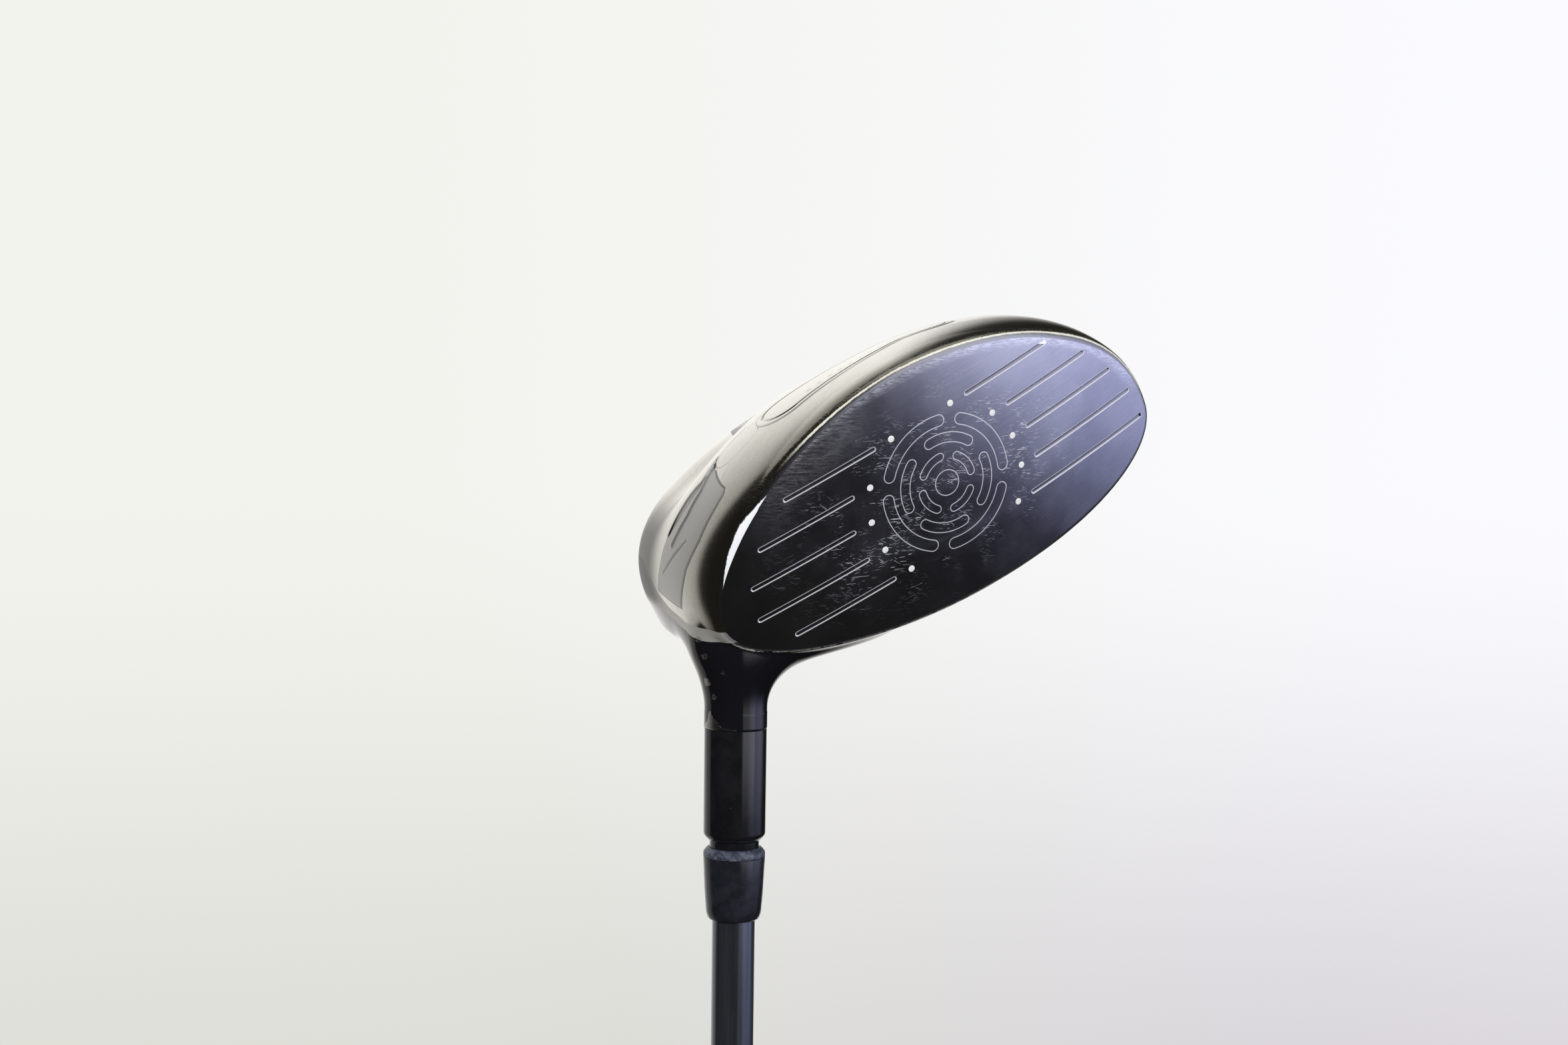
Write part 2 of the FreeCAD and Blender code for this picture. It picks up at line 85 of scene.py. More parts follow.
# ---- head form
# Half size at the face, growth behind it, and the length over which it grows
SIDES = {"toe": (50.6, 2.4, 8.0), "heel": (51.7, 3.9, 5.0),
         "sole": (32.7, 2.5, 6.0), "crown": (17.4, 3.6, 14.0)}
HEAD_DEPTH, CLOSING_START, CLOSING_ROUNDNESS = 86.0, 22.0, 2.2
SOLE_RISE, SOLE_RISE_START, SOLE_RISE_POWER = 0.36, 10.0, 1.5
CROWN_DROP, CROWN_DROP_START, CROWN_DROP_POWER = 0.75, 20.0, 1.7
EQUATOR_HEIGHT, EQUATOR_SKEW = 6.0, -0.06
BULGE_RADIUS, ROLL_RADIUS = 168.0, 293.0
CUP_RETURN, CUP_HOSEL_CLEARANCE, CROWN_HOSEL_CLEARANCE = 9.0, 9.5, 17.0
PORT_RADIUS, PORT_RIM = 4.4, 0.4
HOSEL_RADIUS, HOSEL_END = 6.3, 26.2
BLEND = 2.5                   # radius of the blend between hosel and head
DENT_PLACE, DENT_REACH, DENT_DEPTH = np.array([34.0, 38.0, -23.0]), np.array([14.0, 9.0, 9.0]), 4.2

# Height on the axis, then the hosel's reach to heel, toe, front and back
HOSEL_SECTIONS = np.array([
    (0.5, 7.0, 36.0, 4.0, 20.0), (5.5, 9.4, 34.0, 6.4, 20.0), (9.5, 9.6, 27.0, 7.2, 16.0),
    (12.5, 8.9, 16.0, 7.2, 12.0), (15.5, 7.7, 9.8, 6.9, 8.8), (18.5, 6.8, 7.2, 6.5, 7.0),
    (21.5, 6.3, 6.3, 6.3, 6.3), (23.8, 6.3, 6.3, 6.3, 6.3), (26.2, 6.3, 6.3, 6.3, 6.3),
    (30.0, 6.3, 6.3, 6.3, 6.3)])


def spline_table(knots, values, count=400):
    """Natural cubic spline through the values at the knots, sampled evenly."""
    gap = np.diff(knots)
    size = len(knots)
    matrix = np.eye(size)
    right = np.zeros_like(values)
    for i in range(1, size - 1):
        matrix[i, i - 1:i + 2] = gap[i - 1], 2 * (gap[i - 1] + gap[i]), gap[i]
        right[i] = 6 * ((values[i + 1] - values[i]) / gap[i] - (values[i] - values[i - 1]) / gap[i - 1])
    bend = np.linalg.solve(matrix, right)
    grid = np.linspace(knots[0], knots[-1], count)
    low = np.clip(np.searchsorted(knots, grid) - 1, 0, size - 2)
    g = gap[low, None]
    t, u = (grid - knots[low])[:, None], (knots[low + 1] - grid)[:, None]
    curve = bend[low] * u ** 3 / (6 * g) + bend[low + 1] * t ** 3 / (6 * g)
    curve += (values[low] / g - bend[low] * g / 6) * u + (values[low + 1] / g - bend[low + 1] * g / 6) * t
    return grid, curve


REACH_HEIGHTS, REACHES = spline_table(HOSEL_SECTIONS[:, 0], HOSEL_SECTIONS[:, 1:])


def progress(y, start):
    return np.maximum(y - start, 0) / (HEAD_DEPTH - start)


def half_size(side, y, behind):
    """Half size on one side at depth y, a given distance behind the face surface."""
    half, growth, length = SIDES[side]
    size = half + growth * (1 - np.exp(-np.maximum(behind, 0) / length))
    if side == "sole":
        size = size * (1 - SOLE_RISE * progress(y, SOLE_RISE_START) ** SOLE_RISE_POWER)
    if side == "crown":
        size = size * (1 - CROWN_DROP * np.minimum(progress(y, CROWN_DROP_START), 1) ** CROWN_DROP_POWER)
    return size


def body_level(p):
    """Level of the head's outer form without face and hosel: 0 on the surface, positive outside."""
    x, y, z = p.T
    h = z - EQUATOR_HEIGHT - EQUATOR_SKEW * x
    heel, crown = x > 0, h > 0
    behind = y - face_depth(x, z)
    across = np.where(heel, half_size("heel", y, behind), half_size("toe", y, behind))
    up = np.where(crown, half_size("crown", y, behind), half_size("sole", y, behind))
    square = 0.8 * np.clip(y / 45, 0, 1)
    n = np.where(crown, np.where(heel, 1.9, 2.15), np.where(heel, 1.8, 2.0) + square)
    fx, fz = (np.abs(x) / across) ** n, (np.abs(h) / up) ** n
    power_x, power_z = np.where(heel, 2.8, 2.4), np.where(crown, 2.4, 2.8)
    power = (power_x * fx + power_z * fz) / (fx + fz + 1e-9)
    shut = np.clip(progress(y, CLOSING_START), 0, 1.3) ** power
    return ((fx + fz) ** (CLOSING_ROUNDNESS / n) + shut) ** (1 / CLOSING_ROUNDNESS) - 1


def axis_coordinates(p):
    """Height on the shaft axis, and the distances from it to the toe side and to the back."""
    row = to_row(p)
    return AXIS_Z - row[:, 2], row[:, 0], row[:, 1]


def axis_span(p):
    """Distance from the shaft axis."""
    return np.hypot(*axis_coordinates(p)[1:])


def hosel_level(p):
    height, toe, back = axis_coordinates(p)
    reach = [np.interp(height, REACH_HEIGHTS, REACHES[:, i]) for i in range(4)]
    across = np.where(toe > 0, reach[1], reach[0])
    deep = np.where(back > 0, reach[3], reach[2])
    return np.sqrt((toe / across) ** 2 + (back / deep) ** 2) - 1


def distance(level, p, step=0.05):
    """A level turned into a distance near the surface, by its slope."""
    value = level(p)
    slope = np.stack([(level(p + step * axis) - value) / step for axis in np.eye(3)], 1)
    return value / np.maximum(np.linalg.norm(slope, axis=1), 1e-3)


def face_depth(x, z):
    return math.tan(LOFT) * z + x * x / (2 * BULGE_RADIUS) + z * z / (2 * ROLL_RADIUS) / math.cos(LOFT)


def face_distance(p):
    """Distance in front of the face surface."""
    x, y, z = p.T
    slope_x = x / BULGE_RADIUS
    slope_z = math.tan(LOFT) + z / ROLL_RADIUS / math.cos(LOFT)
    return (face_depth(x, z) - y) / np.sqrt(1 + slope_x ** 2 + slope_z ** 2)


def edge_radius(x, z):
    """Radius of the rounding between the face and the skin, largest at the heel end of the sole."""
    return 0.7 + 0.5 * smooth_step(-z, -4, 14) + 0.35 * smooth_step(x, 32, 45) * smooth_step(-z, 1, 10)


def smooth_step(value, low, high):
    t = np.clip((value - low) / (high - low), 0, 1)
    return t * t * (3 - 2 * t)


def smooth_union(a, b, radius):
    h = np.maximum(radius - np.abs(a - b), 0) / radius
    return np.minimum(a, b) - h * h * radius / 4


def hosel_distance(p):
    return np.maximum(distance(hosel_level, p), 0.5 - axis_coordinates(p)[0])


def heel_dent(p):
    """Depth of the shallow valley between the sole and the rear heel."""
    away = (p - DENT_PLACE) / DENT_REACH
    return DENT_DEPTH * np.exp(-(away ** 2).sum(1))


def head_distance(p):
    """Distance outside the whole head: body closed by the face with a rounded edge, and the hosel."""
    body, front = distance(body_level, p) + heel_dent(p), face_distance(p)
    radius = edge_radius(p[:, 0], p[:, 2])
    a, b = body + radius, front + radius
    shell = np.where(np.minimum(a, b) > 0, np.hypot(a, b), np.maximum(a, b)) - radius
    return smooth_union(shell, hosel_distance(p), 0.05 + BLEND * smooth_step(-front, 0.2, 4))


def slope_of(field, p, step=0.02):
    return np.stack([(field(p + step * axis) - field(p - step * axis)) / (2 * step) for axis in np.eye(3)], 1)


def settle_on(field, p, rounds=3):
    """Move points onto the surface along the field's slope."""
    for _ in range(rounds):
        slope = slope_of(field, p)
        p = p - field(p)[:, None] * slope / np.maximum((slope ** 2).sum(1), 0.05)[:, None]
    return p


# ---- meshing
CORNERS = np.array([(i, j, k) for i in (0, 1) for j in (0, 1) for k in (0, 1)])
EDGES = [(a, b) for a in range(8) for b in range(a + 1, 8) if np.abs(CORNERS[a] - CORNERS[b]).sum() == 1]
BLOCK = 4


def surface_net(field, low, high, step):
    """Triangle mesh of a field's zero surface, with its vertices moved onto it."""
    low = np.array(low, float)
    blocks = np.ceil((np.array(high) - low) / (step * BLOCK)).astype(int)
    centres = (np.indices(blocks).reshape(3, -1).T + 0.5) * BLOCK * step + low
    coarse = field(centres).reshape(blocks)
    grid = coarse
    for axis in range(3):
        grid = np.repeat(grid, BLOCK, axis=axis)
    grid = np.pad(grid, ((0, 1),) * 3, mode="edge")
    near = np.argwhere(np.abs(grid) < BLOCK * step * 1.45)
    values = [field(part * step + low) for part in np.array_split(near, max(len(near) // 300000, 1))]
    grid[tuple(near.T)] = np.concatenate(values)
    inside = grid < 0
    shape = np.array(grid.shape) - 1
    count = np.zeros(shape, np.int8)
    for i, j, k in CORNERS:
        count += inside[i:i + shape[0], j:j + shape[1], k:k + shape[2]]
    cells = np.argwhere((count > 0) & (count < 8))
    corner_values = np.stack([grid[tuple((cells + corner).T)] for corner in CORNERS], 1)
    total, crossings = np.zeros((len(cells), 3)), np.zeros(len(cells))
    for a, b in EDGES:
        va, vb = corner_values[:, a], corner_values[:, b]
        cross = (va < 0) != (vb < 0)
        t = np.where(cross, va / np.where(cross, va - vb, 1), 0)
        total += np.where(cross[:, None], CORNERS[a] + t[:, None] * (CORNERS[b] - CORNERS[a]), 0)
        crossings += cross
    points = settle_on(field, low + (cells + total / crossings[:, None]) * step)
    index = np.full(shape, -1, np.int32)
    index[tuple(cells.T)] = np.arange(len(cells))
    quads = []
    for axis in range(3):
        side, cell = np.moveaxis(inside, axis, 0), np.moveaxis(index, axis, 0)
        i, j, k = np.nonzero((side[:-1] != side[1:])[:, 1:-1, 1:-1])
        j, k = j + 1, k + 1
        around = [cell[i, j - 1, k - 1], cell[i, j, k - 1], cell[i, j, k], cell[i, j - 1, k]]
        quads.append(np.stack(around, 1))
    quads = np.concatenate(quads)
    triangles = np.concatenate([quads[:, [0, 1, 2]], quads[:, [0, 2, 3]]])
    return points, face_outwards(points, triangles, slope_of(field, points))


def face_outwards(points, triangles, normals):
    a, b, c = (points[triangles[:, i]] for i in range(3))
    wrong = (np.cross(b - a, c - a) * normals[triangles[:, 0]]).sum(1) < 0
    return np.where(wrong[:, None], triangles[:, ::-1], triangles)


def clip(points, triangles, value):
    """The part of a triangle mesh where value is positive, cut along the line where it is zero."""
    value = np.where(np.abs(value) < 1e-4, 1e-4, value)
    keep = value > 0
    state = keep[triangles].sum(1)
    mixed = triangles[(state == 1) | (state == 2)]
    lone_in = keep[mixed].sum(1) == 1
    lone = np.argmax(keep[mixed] == lone_in[:, None], axis=1)
    turned = np.take_along_axis(mixed, (lone[:, None] + np.arange(3)) % 3, 1)
    edges = np.sort(np.concatenate([turned[:, [0, 1]], turned[:, [0, 2]]]), axis=1)
    edges, inverse = np.unique(edges, axis=0, return_inverse=True)
    share = value[edges[:, 0]] / (value[edges[:, 0]] - value[edges[:, 1]])
    cut = points[edges[:, 0]] * (1 - share[:, None]) + points[edges[:, 1]] * share[:, None]
    a, b = len(points) + inverse.reshape(2, -1)
    tip = np.stack([turned[:, 0], a, b], 1)[lone_in]
    rest_a = np.stack([a, turned[:, 1], turned[:, 2]], 1)[~lone_in]
    rest_b = np.stack([a, turned[:, 2], b], 1)[~lone_in]
    triangles = np.concatenate([triangles[state == 3], tip, rest_a, rest_b])
    used, triangles = np.unique(triangles, return_inverse=True)
    return np.concatenate([points, cut])[used], triangles.reshape(-1, 3)


# ---- materials
class Graph:
    """Short calls for the shader nodes of one material or world."""

    def __init__(self, tree):
        self.tree = tree

    def node(self, kind, inputs=(), **settings):
        node = self.tree.nodes.new(kind)
        for key, value in settings.items():
            setattr(node, key, value)
        for key, value in dict(inputs).items():
            self.plug(node.inputs[key], value)
        return node

    def plug(self, socket, value):
        if isinstance(value, bpy.types.NodeSocket):
            self.tree.links.new(value, socket)
        else:
            socket.default_value = value

    def attribute(self, name, output="Fac"):
        return self.node("ShaderNodeAttribute", attribute_name=name).outputs[output]

    def millimetres(self):
        """Position in the row frame at rest, in millimetres."""
        place = self.node("ShaderNodeTexCoord").outputs["Object"]
        return self.node("ShaderNodeVectorMath", {0: place, "Scale": 1000.0}, operation="SCALE").outputs[0]

    def stretch(self, vector, scale=(1, 1, 1), turn=(0, 0, 0)):
        turned = self.node("ShaderNodeMapping", {"Vector": vector, "Rotation": turn})
        return self.node("ShaderNodeMapping", {"Vector": turned.outputs[0], "Scale": scale}).outputs[0]

    def noise(self, vector, scale=1.0, detail=2.0, roughness=0.5):
        inputs = {"Vector": vector, "Scale": scale, "Detail": detail, "Roughness": roughness}
        return self.node("ShaderNodeTexNoise", inputs).outputs["Fac"]

    def maths(self, operation, a, b=0.0, clamp=False):
        return self.node("ShaderNodeMath", {0: a, 1: b}, operation=operation, use_clamp=clamp).outputs[0]

    def times(self, a, b):
        return self.maths("MULTIPLY", a, b)

    def plus(self, a, b):
        return self.maths("ADD", a, b)

    def most(self, a, b):
        return self.maths("MAXIMUM", a, b)

    def ramp(self, value, low, high, out_low=0.0, out_high=1.0):
        inputs = {"Value": value, "From Min": low, "From Max": high, "To Min": out_low, "To Max": out_high}
        return self.node("ShaderNodeMapRange", inputs, interpolation_type="SMOOTHSTEP").outputs[0]

    def mix(self, share, a, b):
        """Mix of two colours."""
        node = self.node("ShaderNodeMix", data_type="RGBA")
        for socket, value in zip((node.inputs[0], node.inputs[6], node.inputs[7]), (share, a, b)):
            self.plug(socket, (*value, 1.0) if isinstance(value, tuple) else value)
        return node.outputs[2]

    def blend(self, share, a, b):
        """Mix of two numbers."""
        node = self.node("ShaderNodeMix", data_type="FLOAT")
        for socket, value in zip((node.inputs[0], node.inputs[2], node.inputs[3]), (share, a, b)):
            self.plug(socket, value)
        return node.outputs[0]

    def bump(self, height, depth_mm):
        inputs = {"Height": height, "Distance": depth_mm * MM, "Strength": 1.0}
        return self.node("ShaderNodeBump", inputs).outputs[0]


def empty_graph(owner):
    """Graph of a material's or world's node tree, emptied first."""
    owner.use_nodes = True
    owner.node_tree.nodes.clear()
    return Graph(owner.node_tree)


def material(name, paint, **fixed):
    """A procedural material. paint(graph) returns the linked inputs; fixed holds the plain ones."""
    made = bpy.data.materials.new(name)
    graph = empty_graph(made)
    shader = graph.node("ShaderNodeBsdfPrincipled", fixed)
    for key, value in paint(graph).items():
        graph.plug(shader.inputs[key], (*value, 1.0) if isinstance(value, tuple) else value)
    graph.node("ShaderNodeOutputMaterial", {"Surface": shader.outputs[0]})
    return made


METAL, PAINT, BARE = (0.68, 0.665, 0.62), (0.006, 0.006, 0.008), (0.44, 0.43, 0.40)
# colour of the painted shade on the rear heel
PAINTED_SHADE_COLOUR = (0.12, 0.115, 0.105)
FACE_DARK, FACE_LIGHT = (0.30, 0.30, 0.335), (0.37, 0.37, 0.41)
# Streaks on the face: stretch of the noise, its turn about the depth axis, and where a streak starts
SCRATCHES = (((0.40, 1, 5.0), -0.45, 0.675), ((0.6, 1, 8.0), -0.15, 0.69), ((0.30, 1, 7.0), -1.0, 0.71))


def skin_paint(g):
    """Polished metal sole, black paint on crown and hosel, a satin strip between, a bright edge line, nicks,
    chips; painted shade behind the face edge and on the rear heel, a painted highlight at the heel end of the
    face.
    """
    place = g.attribute("head", "Vector")
    rough = g.noise(place, 2.2, 3, 0.6)
    ragged = g.maths("SUBTRACT", g.noise(place, 1.6, 4, 0.65), 0.5)
    paint_line = g.plus(g.attribute("paint"), g.times(ragged, 0.25))
    painted = g.ramp(paint_line, -0.06, 0.06)
    strip = g.ramp(g.plus(g.attribute("strip"), g.times(ragged, 0.12)), -0.05, 0.05)
    chip_line = g.plus(g.attribute("chip"), g.times(ragged, 1.5))
    chip = g.ramp(chip_line, -0.04, 0.04)
    streaks = g.noise(g.stretch(place, (0.25, 3.5, 3.5), (0, 0, 0.35)), 1.0, 3, 0.6)
    fuzz = g.noise(g.stretch(place, (5.0, 0.5, 5.0), (0.2, 0, 0.5)), 1.0, 3, 0.7)
    edge = g.attribute("edge")
    front = g.ramp(edge, -6.0, -1.0)
    beside_face = g.times(g.attribute("wear"), g.ramp(edge, -2.6, -0.7))
    scuffed = g.times(g.ramp(fuzz, 0.46, 0.60), beside_face)
    metal = g.mix(g.ramp(streaks, 0.35, 0.7), METAL, (0.60, 0.585, 0.545))
    # painted shade: the metal is made darker and olive within a few millimetres behind the face edge
    metal = g.mix(front, metal, (0.42, 0.41, 0.35))
    metal = g.mix(scuffed, metal, (0.66, 0.64, 0.55))
    black = g.mix(g.ramp(g.noise(place, 3.0, 2), 0.7, 0.78), PAINT, (0.02, 0.02, 0.022))
    colour = g.mix(painted, metal, black)
    colour = g.mix(strip, colour, g.mix(rough, (0.50, 0.485, 0.45), (0.56, 0.545, 0.505)))
    # painted shade: the rear heel lobe is darkened, duller and less metallic
    colour = g.mix(g.attribute("shade"), colour, PAINTED_SHADE_COLOUR)
    colour = g.mix(chip, colour, g.mix(rough, (0.30, 0.30, 0.28), BARE))
    offset = g.maths("ABSOLUTE", g.plus(edge, g.times(ragged, 0.4)))
    line = g.times(g.ramp(offset, 0.36, 0.16), g.attribute("bright"))
    gaps = g.ramp(g.noise(place, 0.45, 3, 0.6), 0.42, 0.5)
    nick = g.times(g.ramp(offset, 0.16, 0.06), g.times(gaps, g.attribute("nick")))
    line = g.most(line, g.times(nick, 0.35))
    coating = g.ramp(edge, 0.15, 0.4)
    colour = g.mix(coating, colour, FACE_DARK)
    # painted highlight: a bright white band on the rounded edge at the heel end of the face, standing in for
    # a lamp's reflection
    painted_glint = g.ramp(g.plus(g.attribute("painted_glint"), g.times(ragged, 0.25)), -0.05, 0.12)
    colour = g.mix(line, colour, (0.90, 0.87, 0.74))
    colour = g.mix(painted_glint, colour, (0.96, 0.97, 1.0))
    metallic = g.maths("MAXIMUM", g.maths("SUBTRACT", 1.0, painted), g.most(coating, chip), True)
    metallic = g.times(metallic, g.maths("SUBTRACT", 1.0, g.times(line, 0.75)))
    metallic = g.blend(strip, metallic, 0.45)
    metallic = g.blend(g.most(g.attribute("shade"), painted_glint), metallic, g.blend(painted_glint, 0.25, 0.0))
    smooth = g.blend(painted, g.ramp(rough, 0.3, 0.8, 0.15, 0.22), g.ramp(rough, 0.3, 0.8, 0.05, 0.09))
    smooth = g.blend(g.most(strip, scuffed), smooth, 0.42)
    smooth = g.blend(g.most(chip, coating), smooth, 0.34)
    smooth = g.blend(g.attribute("shade"), smooth, 0.55)
    height = g.maths("SUBTRACT", g.times(streaks, 0.15), chip)
    return {"Base Color": colour, "Metallic": metallic, "Roughness": smooth,
            "Normal": g.bump(height, 0.05)}


def face_paint(g):
    """Dark coated face metal with brushing, scratches, a lighter haze near the sole edge that is partly
    rubbing and partly painted highlight, and light outlines on grooves and pattern.
    """
    place = g.attribute("head", "Vector")
    grain = g.noise(g.stretch(place, (0.05, 1, 9.0)), 1.0, 4, 0.7)
    cloud = g.noise(place, 0.09, 3, 0.55)
    base = g.mix(g.ramp(cloud, 0.3, 0.7), FACE_DARK, FACE_LIGHT)
    base = g.mix(g.ramp(grain, 0.35, 0.75, 0, 0.5), base, (0.44, 0.43, 0.50))
    marks = None
    for scale, turn, low in SCRATCHES:
        turned = g.stretch(place, scale, (0, turn, 0))
        streak = g.ramp(g.noise(turned, 1.0, 1, 0.4), low, low + 0.03)
        marks = streak if marks is None else g.most(marks, streak)
    where = g.ramp(g.noise(place, 0.14, 2, 0.5), 0.42, 0.60)
    patch = g.ramp(g.noise(place, 0.35, 5, 0.75), 0.60, 0.74)
    scuffs_and_sheen = g.times(marks, g.times(where, g.attribute("hit")))
    scuffs_and_sheen = g.most(scuffs_and_sheen, g.times(g.times(patch, 0.07), g.attribute("hit")))
    # lighter haze near the sole edge: partly rubbing, partly painted highlight
    haze = g.noise(g.stretch(place, (0.5, 1, 3.0), (0, -0.5, 0)), 1.0, 4, 0.7)
    rub_and_sheen = g.times(g.attribute("rub_and_sheen"), g.ramp(haze, 0.35, 0.68, 0.15, 1.0))
    scuffs_and_sheen = g.most(scuffs_and_sheen, g.times(rub_and_sheen, 0.8))
    colour = g.mix(g.times(scuffs_and_sheen, 0.85), base, (0.86, 0.85, 0.92))
    groove = g.attribute("groove")
    floor = g.ramp(groove, 0.02, 0.12)
    colour = g.mix(floor, colour, (0.26, 0.255, 0.29))
    outline = g.ramp(g.maths("ABSOLUTE", groove), 0.14, 0.08)
    ring = g.ramp(g.maths("ABSOLUTE", g.attribute("pattern")), 0.12, 0.06)
    drawn = g.most(outline, ring)
    colour = g.mix(g.times(drawn, 0.9), colour, (0.90, 0.88, 0.94))
    rough = g.blend(drawn, g.ramp(cloud, 0.3, 0.7, 0.21, 0.27), 0.42)
    height = g.plus(g.times(grain, 0.35), g.times(scuffs_and_sheen, -0.6))
    matt = g.most(drawn, g.times(scuffs_and_sheen, 0.9))
    return {"Base Color": colour, "Metallic": g.blend(matt, 1.0, 0.5), "Roughness": rough,
            "Normal": g.bump(height, 0.018)}


def plate_paint(g):
    """Trim let into the sole: satin or polished metal, dark joint lines, plain marks on the panel, and
    painted shade in the badge's grooves and on the rear heel.
    """
    place = g.attribute("head", "Vector")
    grain = g.noise(g.stretch(place, (2.0, 9.0, 0.4)), 1.0, 4, 0.7)
    satin = g.times(g.attribute("satin"), g.ramp(g.attribute("rim"), 0.2, 0.12))
    brushed = g.mix(g.ramp(grain, 0.3, 0.7), (0.44, 0.44, 0.43), (0.53, 0.53, 0.515))
    colour = g.mix(satin, METAL, brushed)
    joint = g.ramp(g.maths("ABSOLUTE", g.attribute("rim")), 0.16, 0.06, 0, 0.85)
    colour = g.mix(joint, colour, (0.16, 0.16, 0.15))
    # painted shade on the rear heel lobe
    colour = g.mix(g.attribute("shade"), colour, PAINTED_SHADE_COLOUR)
    # painted shade in the badge's grooves, plain marks on the panel
    mark_and_groove_shade = g.ramp(g.attribute("mark_and_groove_shade"), -0.15, 0.15, 0, 0.7)
    colour = g.mix(mark_and_groove_shade, colour, (0.20, 0.20, 0.195))
    rough = g.blend(satin, 0.19, g.ramp(grain, 0.3, 0.7, 0.30, 0.42))
    rough = g.blend(g.attribute("shade"), rough, 0.55)
    metallic = g.blend(g.attribute("shade"), g.blend(satin, 1.0, 0.75), 0.25)
    return {"Base Color": colour, "Metallic": metallic, "Roughness": rough,
            "Normal": g.bump(g.times(grain, satin), 0.02)}


def worn(colour, light, rough_low, rough_high, metallic=0.0, scale=0.5, depth=0.01, stretch=(1, 1, 1)):
    """Paint function for a plain part: cloudy colour and roughness, specks, a little relief."""
    def paint(g):
        place = g.stretch(g.millimetres(), stretch)
        cloud = g.noise(place, scale, 4, 0.6)
        speck = g.ramp(g.noise(place, scale * 5, 2, 0.5), 0.68, 0.76, 0, 0.6)
        shade = g.mix(g.ramp(cloud, 0.35, 0.7), colour, light)
        shade = g.mix(speck, shade, tuple(min(c * 1.8 + 0.01, 1) for c in light))
        return {"Base Color": shade, "Metallic": metallic, "Normal": g.bump(cloud, depth),
                "Roughness": g.ramp(cloud, 0.3, 0.7, rough_low, rough_high)}
    return paint


def shaft_paint(g):
    """Satin slate paint over wound carbon, with faint bands along its length."""
    place = g.millimetres()
    streak = g.noise(g.stretch(place, (1.2, 1.2, 0.03)), 1.0, 3, 0.5)
    fleck = g.noise(g.stretch(place, (2.5, 2.5, 0.4)), 1.0, 3, 0.6)
    colour = g.mix(g.ramp(streak, 0.3, 0.7), (0.085, 0.097, 0.12), (0.13, 0.142, 0.17))
    colour = g.mix(g.ramp(fleck, 0.62, 0.75, 0, 0.5), colour, (0.20, 0.21, 0.25))
    return {"Base Color": colour, "Metallic": 0.85, "Normal": g.bump(fleck, 0.01),
            "Roughness": g.ramp(streak, 0.3, 0.7, 0.20, 0.28)}


def grip_paint(g):
    """Dark rubber: fine pebble, wear and dust where the hands hold it."""
    place = g.millimetres()
    cell = g.node("ShaderNodeTexVoronoi", {"Vector": place, "Scale": 1.1}).outputs["Distance"]
    dust = g.ramp(g.noise(place, 0.08, 4, 0.6), 0.45, 0.75)
    colour = g.mix(dust, (0.018, 0.018, 0.019), (0.045, 0.044, 0.042))
    return {"Base Color": colour, "Roughness": g.ramp(dust, 0, 1, 0.62, 0.8),
            "Normal": g.bump(g.ramp(cell, 0.1, 0.6), 0.12)}


SKIN = material("head_skin", skin_paint)
FACE = material("head_face", face_paint, Anisotropic=0.35)
PLATE = material("sole_trim", plate_paint, Anisotropic=0.2)
WHITE = material("dot_paint", worn((0.80, 0.80, 0.78), (0.90, 0.90, 0.88), 0.4, 0.55, scale=2.0))
SLEEVE = material("sleeve_black", worn((0.006, 0.006, 0.007), (0.010, 0.010, 0.012), 0.08, 0.14, scale=0.3))
FERRULE = material("ferrule_black", worn((0.010, 0.011, 0.015), (0.018, 0.019, 0.026), 0.16, 0.26, scale=0.4))
SCUFF = material("ferrule_scuffed", worn((0.03, 0.034, 0.05), (0.105, 0.115, 0.16), 0.35, 0.5,
                                         scale=0.9, depth=0.04))
SHAFT = material("shaft_slate", shaft_paint, **{"Coat Weight": 0.6, "Coat Roughness": 0.12})
GRIP = material("grip_rubber", grip_paint)
STEEL = material("steel", worn((0.42, 0.42, 0.43), (0.55, 0.55, 0.56), 0.25, 0.4, 1.0, 0.6, 0.01, (1, 1, 6)))
ALLOY = material("alloy_black", worn((0.02, 0.02, 0.021), (0.04, 0.04, 0.043), 0.3, 0.45, 0.8, 0.8))
BRASS = material("brass", worn((0.55, 0.40, 0.16), (0.68, 0.52, 0.24), 0.3, 0.45, 1.0, 0.8))
TACK = material("glue", worn((0.05, 0.035, 0.02), (0.09, 0.06, 0.03), 0.3, 0.5, scale=0.4, depth=0.1))
PAPER = material("paper_tape", worn((0.66, 0.62, 0.50), (0.76, 0.72, 0.60), 0.7, 0.85, scale=0.7, depth=0.03))
PLASTIC = material("plastic", worn((0.02, 0.02, 0.02), (0.03, 0.03, 0.03), 0.4, 0.55, scale=1.0))


# ---- pieces
def link(name, data):
    """A new object in the scene for a mesh, lamp or camera."""
    obj = bpy.data.objects.new(name, data)
    bpy.context.collection.objects.link(obj)
    return obj


def weld(mesh, gap, turn_out=True):
    """Merge points closer than the gap in metres, and turn the faces outwards."""
    form = bmesh.new()
    form.from_mesh(mesh)
    bmesh.ops.remove_doubles(form, verts=form.verts, dist=gap)
    if turn_out:
        bmesh.ops.recalc_face_normals(form, faces=form.faces)
    form.to_mesh(mesh)
    form.free()


def ring_faces(rings, turns, start=0):
    """Quads between rings of points that follow one another from the start."""
    faces = []
    for r in range(rings - 1):
        for k in range(turns):
            a, b = start + r * turns + k, start + r * turns + (k + 1) % turns
            faces.append((a, b, b + turns, a + turns))
    return faces


